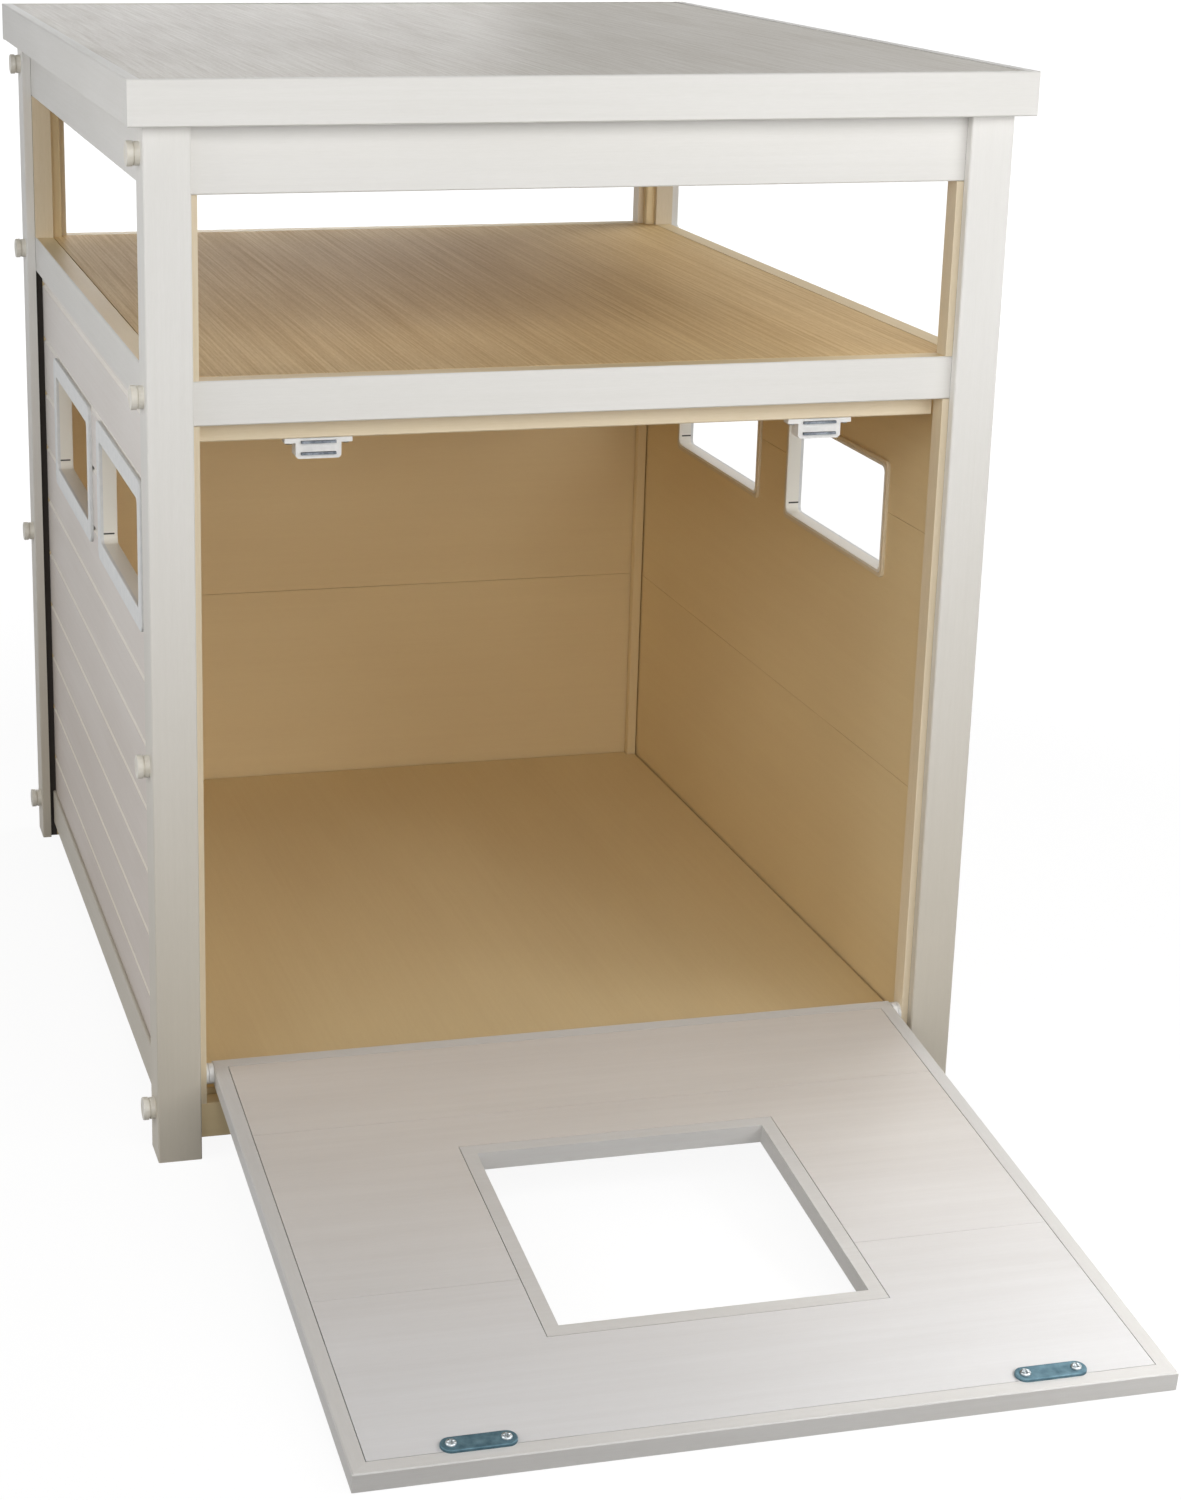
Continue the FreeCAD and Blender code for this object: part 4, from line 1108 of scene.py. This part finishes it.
    def build(self) -> int:
        """Makes all edgings, rings and the painted shadows of the tool slots.

        Returns:
            The number of pieces.
        """
        plastic = EDGING_PLASTIC.material()
        inside = composite_material(STRIP_CREAM, Grain.ALONG_Y)
        dark = SLOT_SHADE.material()
        for side in Side:
            name = side.name.lower()
            ring_node = f"window_inner_rings_{name}"
            low, high = box_mm(ring_node)
            wall = max(abs(low[0]), abs(high[0]))
            nodes = [f"window_frame_{name}_{place}" for place in ("front", "rear")]
            pieces = [
                (node.replace("frame", "edging"), self.flange(node, side), plastic, [node])
                for node in nodes
            ]
            rings = joined([self.ring(node, wall, side) for node in nodes])
            # Dark pads painted as the shadows in the tool slots
            slots = joined([self.slot_shadow_pad(node, side) for node in nodes])
            pieces.append((f"window_clamp_rings_{name}", rings, inside, [ring_node]))
            pieces.append((f"window_tool_slots_{name}", slots, dark, []))
            for piece, shape, finish, replaced in pieces:
                make_piece(piece, shape, finish, Body.CABINET, replaced)
        return 8


@dataclass
class LockingPegs:
    """The sixteen pegs that lock the rails into the posts from both sides."""

    heights: tuple[float, ...] = (35.0, 290.0, 545.0, 703.0)
    front_line: float = -129.5
    rear_line: float = 559.5
    head_radius: float = 8.2
    collar_radius: float = 7.8
    collar_length: float = 4.0
    head_length: float = 4.5
    neck_radius: float = 7.2
    notch: float = 0.5
    chamfer: float = 0.7
    rim: float = 2.4
    dish: float = 0.45
    columns: int = 48

    def turned(self) -> Shape:
        """A peg's collar, notch and dished head, standing on its collar.

        Returns:
            Vertices in millimetres and faces.
        """
        collar, top = self.collar_length, self.collar_length + self.head_length
        stations = np.array(
            [
                (self.collar_radius, 0.0),
                (self.collar_radius, collar - 1.1 * self.notch),
                (self.neck_radius, collar - 0.6 * self.notch),
                (self.neck_radius, collar + 0.5 * self.notch),
                (self.head_radius, collar + self.notch),
                (self.head_radius, top - self.chamfer),
                (self.head_radius - 0.25 * self.chamfer, top - 0.3 * self.chamfer),
                (self.head_radius - self.chamfer, top),
                (self.head_radius - self.rim, top),
                (self.head_radius - self.rim - 0.5, top - 0.1 - 0.5 * self.notch),
                (1.0, top - self.dish),
            ]
        )
        return polar_solid(stations[:, 0], stations[:, 1][:, None], self.columns)

    def build(self) -> int:
        """Makes the pegs as one piece.

        Returns:
            The number of pieces.
        """
        vertices, faces = self.turned()
        low, high = box_mm("locking_pegs")
        length = self.collar_length + self.head_length
        seats = {Side.LEFT: low[0] + length, Side.RIGHT: high[0] - length}
        parts = []
        for side in Side:
            for line in (self.front_line, self.rear_line):
                for height in self.heights:
                    across = seats[side] + side.value * vertices[:, 2]
                    along = line + side.value * vertices[:, 0]
                    up = height + vertices[:, 1]
                    parts.append((np.stack([across, along, up], -1), faces))
        finish = PEG_PLASTIC.material()
        replaced = ["locking_pegs"]
        make_piece(
            "locking_peg_heads", joined(parts), finish, Body.CABINET, replaced
        )
        return 1


@dataclass(frozen=True)
class PanHeadScrew:
    """A small pan-head screw with a cross recess, as a height over its round head.

    The half width and length of the recess's arms are shares of the radius, and its depth is a
    share of the rise.
    """

    radius: float
    rise: float
    arm_half: float = 0.15
    arm_length: float = 0.62
    recess: float = 0.8
    columns: int = 48

    def head(self) -> Shape:
        """The head, standing on the third axis at height 0.

        Over the radius r the head rises to its full height times the square root of 1 less
        (r / radius) to the fourth power. The recess takes away a depth that fades from the
        middle: along each arm, where the smaller of the absolute X and Y is under about the
        arm's half width, it is the recess depth times 1.25 less r over the arm's length, kept
        between 0 and 1.

        Returns:
            Vertices in millimetres and faces.
        """
        inner_share = 0.1 + 0.08 * np.arange(7)[::-1]
        share = np.concatenate([[1.0, 0.985, 0.94, 0.86, 0.76, 0.66], inner_share])
        radius = share * self.radius
        angle = np.arange(self.columns) * 2 * math.pi / self.columns
        x = radius[:, None] * np.cos(angle)
        y = radius[:, None] * np.sin(angle)
        dome = self.rise * np.sqrt(np.clip(1 - share**4, 0.0, 1.0))[:, None]
        arm_half = self.arm_half * self.radius
        off_arm = np.minimum(np.abs(x), np.abs(y))
        inside = np.clip((arm_half * 1.35 - off_arm) / (arm_half * 0.7), 0.0, 1.0)
        fade = np.clip(1.25 - share[:, None] / self.arm_length, 0.0, 1.0)
        height = np.broadcast_to(dome, x.shape) - self.recess * self.rise * inside * fade
        foot_radius = np.array([0.3, 1.0]) * self.radius
        all_radius = np.concatenate([foot_radius, radius])
        foot = np.zeros((2, self.columns))
        return polar_solid(all_radius, np.vstack([foot, height]), self.columns)


@dataclass
class Catches:
    """The magnetic catches under the batten, and the screws through their ears."""

    ear_line: float = 19.5
    screw_y: float = -116.9
    ear_underside: float = 508.4
    screw: PanHeadScrew = PanHeadScrew(radius=3.1, rise=1.5)

    def build(self) -> int:
        """Dresses the catches and adds their screws.

        Returns:
            The number of pieces.
        """
        dress(["catch_housing_left", "catch_housing_right"], WHITE_NYLON.material())
        dress(["catch_magnets"], POLE_STEEL.material())
        head, faces = self.screw.head()
        parts = []
        for side in Side:
            low, high = box_mm(f"catch_housing_{side.name.lower()}")
            middle = (low[0] + high[0]) / 2
            for offset in (-self.ear_line, self.ear_line):
                across = middle + offset + head[:, 0]
                along = self.screw_y + head[:, 1]
                up = self.ear_underside - head[:, 2]
                parts.append((np.stack([across, along, up], -1), faces))
        steel = SCREW_ZINC.material()
        make_piece("catch_screws", joined(parts), steel, Body.CABINET)
        return 4


@dataclass(frozen=True)
class DoorFrame:
    """The open door's own frame: distance from the pivot, height over the mid-plane and tilt."""

    pivot_y: float = -132.288
    pivot_z: float = 59.0
    tilt: float = math.radians(6.567836)

    def placed(self, across: np.ndarray, reach: np.ndarray, over: np.ndarray) -> np.ndarray:
        """Places points of the door in the row frame.

        With the tilt t, Y is the pivot's less reach cos t less over sin t, and Z is the pivot's
        less reach sin t plus over cos t.

        Args:
            across: Distances from the door's middle plane, or one for all.
            reach: Distances from the pivot along the door.
            over: Heights over the door's mid-plane.

        Returns:
            Places in millimetres.
        """
        along = self.pivot_y - reach * math.cos(self.tilt) - over * math.sin(self.tilt)
        up = self.pivot_z - reach * math.sin(self.tilt) + over * math.cos(self.tilt)
        return np.stack([np.broadcast_to(across, along.shape), along, up], -1)


@dataclass
class Door:
    """The fold-down door: three boards in an edging, with a framed entrance."""

    courses: tuple[str, ...] = ("free", "middle", "hinge")

    def build(self) -> int:
        """Dresses the door's boards, edging, bushes and pins.

        Returns:
            The number of pieces.
        """
        boards = [f"door_board_{course}" for course in self.courses]
        along = ["door_edge_left", "door_edge_right"]
        across = ["door_edge_free", "door_edge_hinge", "entrance_frame"]
        pivots = ["pivot_bushes", "pivot_pins"]
        dress(boards, composite_material(DOOR_PAINT, Grain.ALONG_X))
        dress(along, composite_material(TRIM_PAINT, Grain.ALONG_Y))
        dress(across, composite_material(TRIM_PAINT, Grain.ALONG_X))
        dress(pivots, WHITE_NYLON.material())
        return len(boards) + len(along) + len(across) + len(pivots)


@dataclass
class StrikePlates:
    """The two steel strikes at the door's free edge, each held by two screws."""

    frame: DoorFrame = DoorFrame()
    spacing: float = 358.6
    reach: float = 443.5
    length: float = 46.4
    width: float = 13.0
    corner: float = 6.4
    seat: float = 6.75
    thickness: float = 2.0
    bevel: float = 0.6
    rim: float = 1.6
    screw_spacing: float = 33.4
    screw: PanHeadScrew = PanHeadScrew(radius=3.5, rise=1.8)

    def plate(self, centre: float) -> Shape:
        """One plate: a softened edge carried round a rounded rectangle, closed by flat caps.

        Args:
            centre: Distance of the plate's middle from the door's middle.

        Returns:
            Vertices in millimetres and faces.
        """
        t = np.linspace(0.0, math.pi / 2, 5)
        inset = np.concatenate([[0.0], self.bevel * (1 - np.cos(t)), [self.bevel + self.rim]])
        edge = self.thickness - self.bevel * (1 - np.sin(t))
        over = np.concatenate([[0.0], edge, [self.thickness]])
        radius = np.maximum(self.corner - inset, 1.0)
        across, reach = rounded_rectangle_rings(self.length, self.width, inset, radius, 10)
        height = np.broadcast_to(self.seat + over[:, None], across.shape)
        placed = self.frame.placed(
            (across + centre).reshape(-1), (reach + self.reach).reshape(-1), height.reshape(-1)
        )
        return placed, capped_quads(len(inset), across.shape[1])

    def screws(self, centre: float) -> list[Shape]:
        """The two screw heads on one plate.

        Args:
            centre: Distance of the plate's middle from the door's middle.

        Returns:
            Vertices in millimetres and faces of each head.
        """
        head, faces = self.screw.head()
        parts = []
        for offset in (-self.screw_spacing / 2, self.screw_spacing / 2):
            placed = self.frame.placed(
                centre + offset + head[:, 0],
                self.reach + head[:, 1],
                self.seat + self.thickness + head[:, 2],
            )
            parts.append((placed, faces))
        return parts

    def build(self) -> int:
        """Makes the plates and their screws.

        Returns:
            The number of pieces.
        """
        steel = BLUE_ZINC.material()
        screws = []
        for side in Side:
            centre = side.value * self.spacing / 2
            name = side.name.lower()
            replaced = [f"strike_plate_{name}"]
            plate = self.plate(centre)
            make_piece(f"strike_{name}", plate, steel, Body.DOOR, replaced)
            screws.extend(self.screws(centre))
        make_piece(
            "strike_screws", joined(screws), SCREW_ZINC.material(), Body.DOOR
        )
        return 3


# Studio and camera


@dataclass(frozen=True)
class SoftLamp:
    """A square lamp behind a diffuser, on a stand, that looks at a point on the cabinet.

    Places and sizes are metres, the power is watts, and the spread is the angle of its beam.
    """

    name: str
    place: tuple[float, float, float]
    power: float
    size: float = 1.0
    aim: tuple[float, float, float] = (0.0, 0.0, 0.4)
    spread: float = math.pi

    def hang(self) -> None:
        """Adds the lamp to the scene, out of the camera's sight."""
        lamp = bpy.data.lights.new(self.name, "AREA")
        lamp.shape = "SQUARE"
        lamp.size = self.size
        lamp.energy = self.power
        lamp.spread = self.spread
        stand = bpy.data.objects.new(self.name, lamp)
        bpy.context.scene.collection.objects.link(stand)
        stand.location = self.place
        stand.visible_camera = False
        direction = Vector(self.aim) - Vector(self.place)
        stand.rotation_euler = direction.to_track_quat("-Z", "Y").to_euler()


# Lamps before the cabinet light its front and the inside, those on the left and right its sides
# and the top, and the rear one its back and the far ends of shelf and top. The narrow door lamp
# brightens the door's free right corner.
LAMPS = (
    SoftLamp("front_lamp", (-0.3, -4.0, 1.0), 9.3),
    SoftLamp("front_right_lamp", (1.0, -3.2, 1.6), 2.4),
    SoftLamp("centre_lamp", (0.0, -1.5, 1.15), 7.6),
    SoftLamp("front_left_lamp", (-1.3, -1.5, 1.15), 6.6),
    SoftLamp("low_left_lamp", (-2.0, -0.6, 0.9), 6.6),
    SoftLamp("left_lamp", (-2.2, -0.3, 1.2), 8.8),
    SoftLamp("low_right_lamp", (1.0, -1.15, 0.8), 8.4),
    SoftLamp(
        "door_lamp", (0.75, -0.95, 0.7), 0.36, size=0.4, aim=(0.34, -0.62, 0.0), spread=0.8
    ),
    SoftLamp("high_right_lamp", (1.5, 0.9, 1.7), 14.6),
    SoftLamp("right_lamp", (2.4, 0.5, 0.65), 6.0, aim=(0.0, 0.0, 0.35)),
    SoftLamp("rear_lamp", (0.3, 3.0, 0.6), 18.0, aim=(0.0, 0.0, 0.35)),
)


@dataclass
class Studio:
    """A plain pale floor, a white backdrop and soft lamps.

    The floor's white share rises to 1 from the first to the second distance of white_reach, in
    metres from the origin, so that its far part is plain white.
    """

    floor_reach: float = 30.0
    floor_seen: str = "D2D2D2"
    floor_lit: str = "8C8C8C"
    floor_white_share: float = 0.82
    white_reach: tuple[float, float] = (0.9, 3.0)
    floor_white: float = 1.12
    sky_level: float = 0.04
    lamps: tuple[SoftLamp, ...] = LAMPS

    def seen_directly(self, tree: Tree) -> Socket:
        """Tells the rays that see the background from those that are lit by it.

        Args:
            tree: The nodes of the floor or the sky.

        Returns:
            1 for rays from the camera, a glossy surface or a clear one, and 0 for the rest.
        """
        path = add_node(tree, "ShaderNodeLightPath").outputs
        either = calculated(tree, "MAXIMUM", path["Is Camera Ray"], path["Is Glossy Ray"])
        return calculated(tree, "MAXIMUM", either, path["Is Transmission Ray"])

    def lay_floor(self) -> None:
        """A matt floor that shows almost white, keeps the shadow and throws back little light."""
        half = self.floor_reach / 2
        mesh = bpy.data.meshes.new("studio_floor")
        mesh.from_pydata(
            [(-half, -half, 0.0), (half, -half, 0.0), (half, half, 0.0), (-half, half, 0.0)],
            [],
            [(0, 1, 2, 3)],
        )
        floor = bpy.data.objects.new("studio_floor", mesh)
        bpy.context.scene.collection.objects.link(floor)
        material, tree = new_material("matt_white_floor")
        lit = add_node(tree, "ShaderNodeBsdfDiffuse", inputs={"Color": linear(self.floor_lit)})
        matt = add_node(tree, "ShaderNodeBsdfDiffuse", inputs={"Color": linear(self.floor_seen)})
        white = add_node(tree, "ShaderNodeEmission", inputs={"Strength": self.floor_white})
        place = add_node(tree, "ShaderNodeTexCoord").outputs["Object"]
        away = add_node(tree, "ShaderNodeVectorMath", {"operation": "LENGTH"}, {0: place})
        whiteness = (self.floor_white_share, 1.0)
        share = remapped(tree, away.outputs["Value"], self.white_reach, whiteness)
        seen = mixed_shaders(tree, share, matt, white)
        mixed = mixed_shaders(tree, self.seen_directly(tree), lit, seen)
        close_material(tree, mixed.outputs[0])
        mesh.materials.append(material)

    def hang_backdrop(self) -> None:
        """A plain sky that lights evenly and shows white behind the object."""
        world = bpy.data.worlds.new("studio_sky")
        world.use_nodes = True
        tree = world.node_tree
        tree.nodes.clear()
        soft = add_node(tree, "ShaderNodeBackground", inputs={"Strength": self.sky_level})
        white = add_node(tree, "ShaderNodeBackground", inputs={"Strength": 1.0})
        for background in (soft, white):
            background.inputs["Color"].default_value = (1.0, 1.0, 1.0, 1.0)
        mixed = mixed_shaders(tree, self.seen_directly(tree), soft, white)
        add_node(tree, "ShaderNodeOutputWorld", inputs={"Surface": mixed.outputs[0]})
        bpy.context.scene.world = world

    def build(self) -> int:
        """Sets up floor, backdrop and lamps.

        Returns:
            The number of lamps.
        """
        self.lay_floor()
        self.hang_backdrop()
        for lamp in self.lamps:
            lamp.hang()
        bpy.context.scene.view_settings.view_transform = "Standard"
        return len(self.lamps)


@dataclass
class ProductCamera:
    """The camera at the photograph's place, direction and framing."""

    place: tuple[float, float, float] = (-0.571595, -1.979391, 0.911082)
    yaw: float = 0.244864779
    pitch: float = -0.301673605
    roll: float = 0.012707331
    focal_pixels: float = 2874.8126
    axis_pixel: tuple[float, float] = (419.0933, 710.6789)
    image_size: tuple[int, int] = (1181, 1500)
    sensor: float = 36.0

    def build(self) -> int:
        """Places the camera.

        The view direction is turned by the yaw from +Y towards +X and raised by the pitch, and
        the roll turns the picture about it.

        Returns:
            The number of cameras.
        """
        forward = Vector(
            (
                math.sin(self.yaw) * math.cos(self.pitch),
                math.cos(self.yaw) * math.cos(self.pitch),
                math.sin(self.pitch),
            )
        )
        level = Vector((math.cos(self.yaw), -math.sin(self.yaw), 0.0))
        up = level.cross(forward)
        right = math.cos(self.roll) * level + math.sin(self.roll) * up
        above = math.cos(self.roll) * up - math.sin(self.roll) * level
        turn = Matrix((right, above, -forward)).transposed()
        long_side = max(self.image_size)
        data = bpy.data.cameras.new("product_camera")
        data.sensor_width = self.sensor
        data.lens = self.focal_pixels * self.sensor / long_side
        data.shift_x = (self.image_size[0] / 2 - self.axis_pixel[0]) / long_side
        data.shift_y = -(self.image_size[1] / 2 - self.axis_pixel[1]) / long_side
        data.clip_start, data.clip_end = 0.05, 100.0
        camera = bpy.data.objects.new("product_camera", data)
        camera.matrix_world = Matrix.Translation(Vector(self.place)) @ turn.to_4x4()
        bpy.context.scene.collection.objects.link(camera)
        bpy.context.scene.camera = camera
        return 1


def main() -> None:
    """Builds the sub-assemblies in order and reports each one."""
    logging.basicConfig(level=logging.INFO, format="%(name)s: %(message)s")
    assemblies = (
        TableTop(),
        PostsAndRails(),
        Boards(),
        WindowEdgings(),
        LockingPegs(),
        Catches(),
        Door(),
        StrikePlates(),
        Studio(),
        ProductCamera(),
    )
    for assembly in assemblies:
        LOG.info("%s built, %d in all", type(assembly).__name__, assembly.build())


if __name__ == "__main__":
    main()
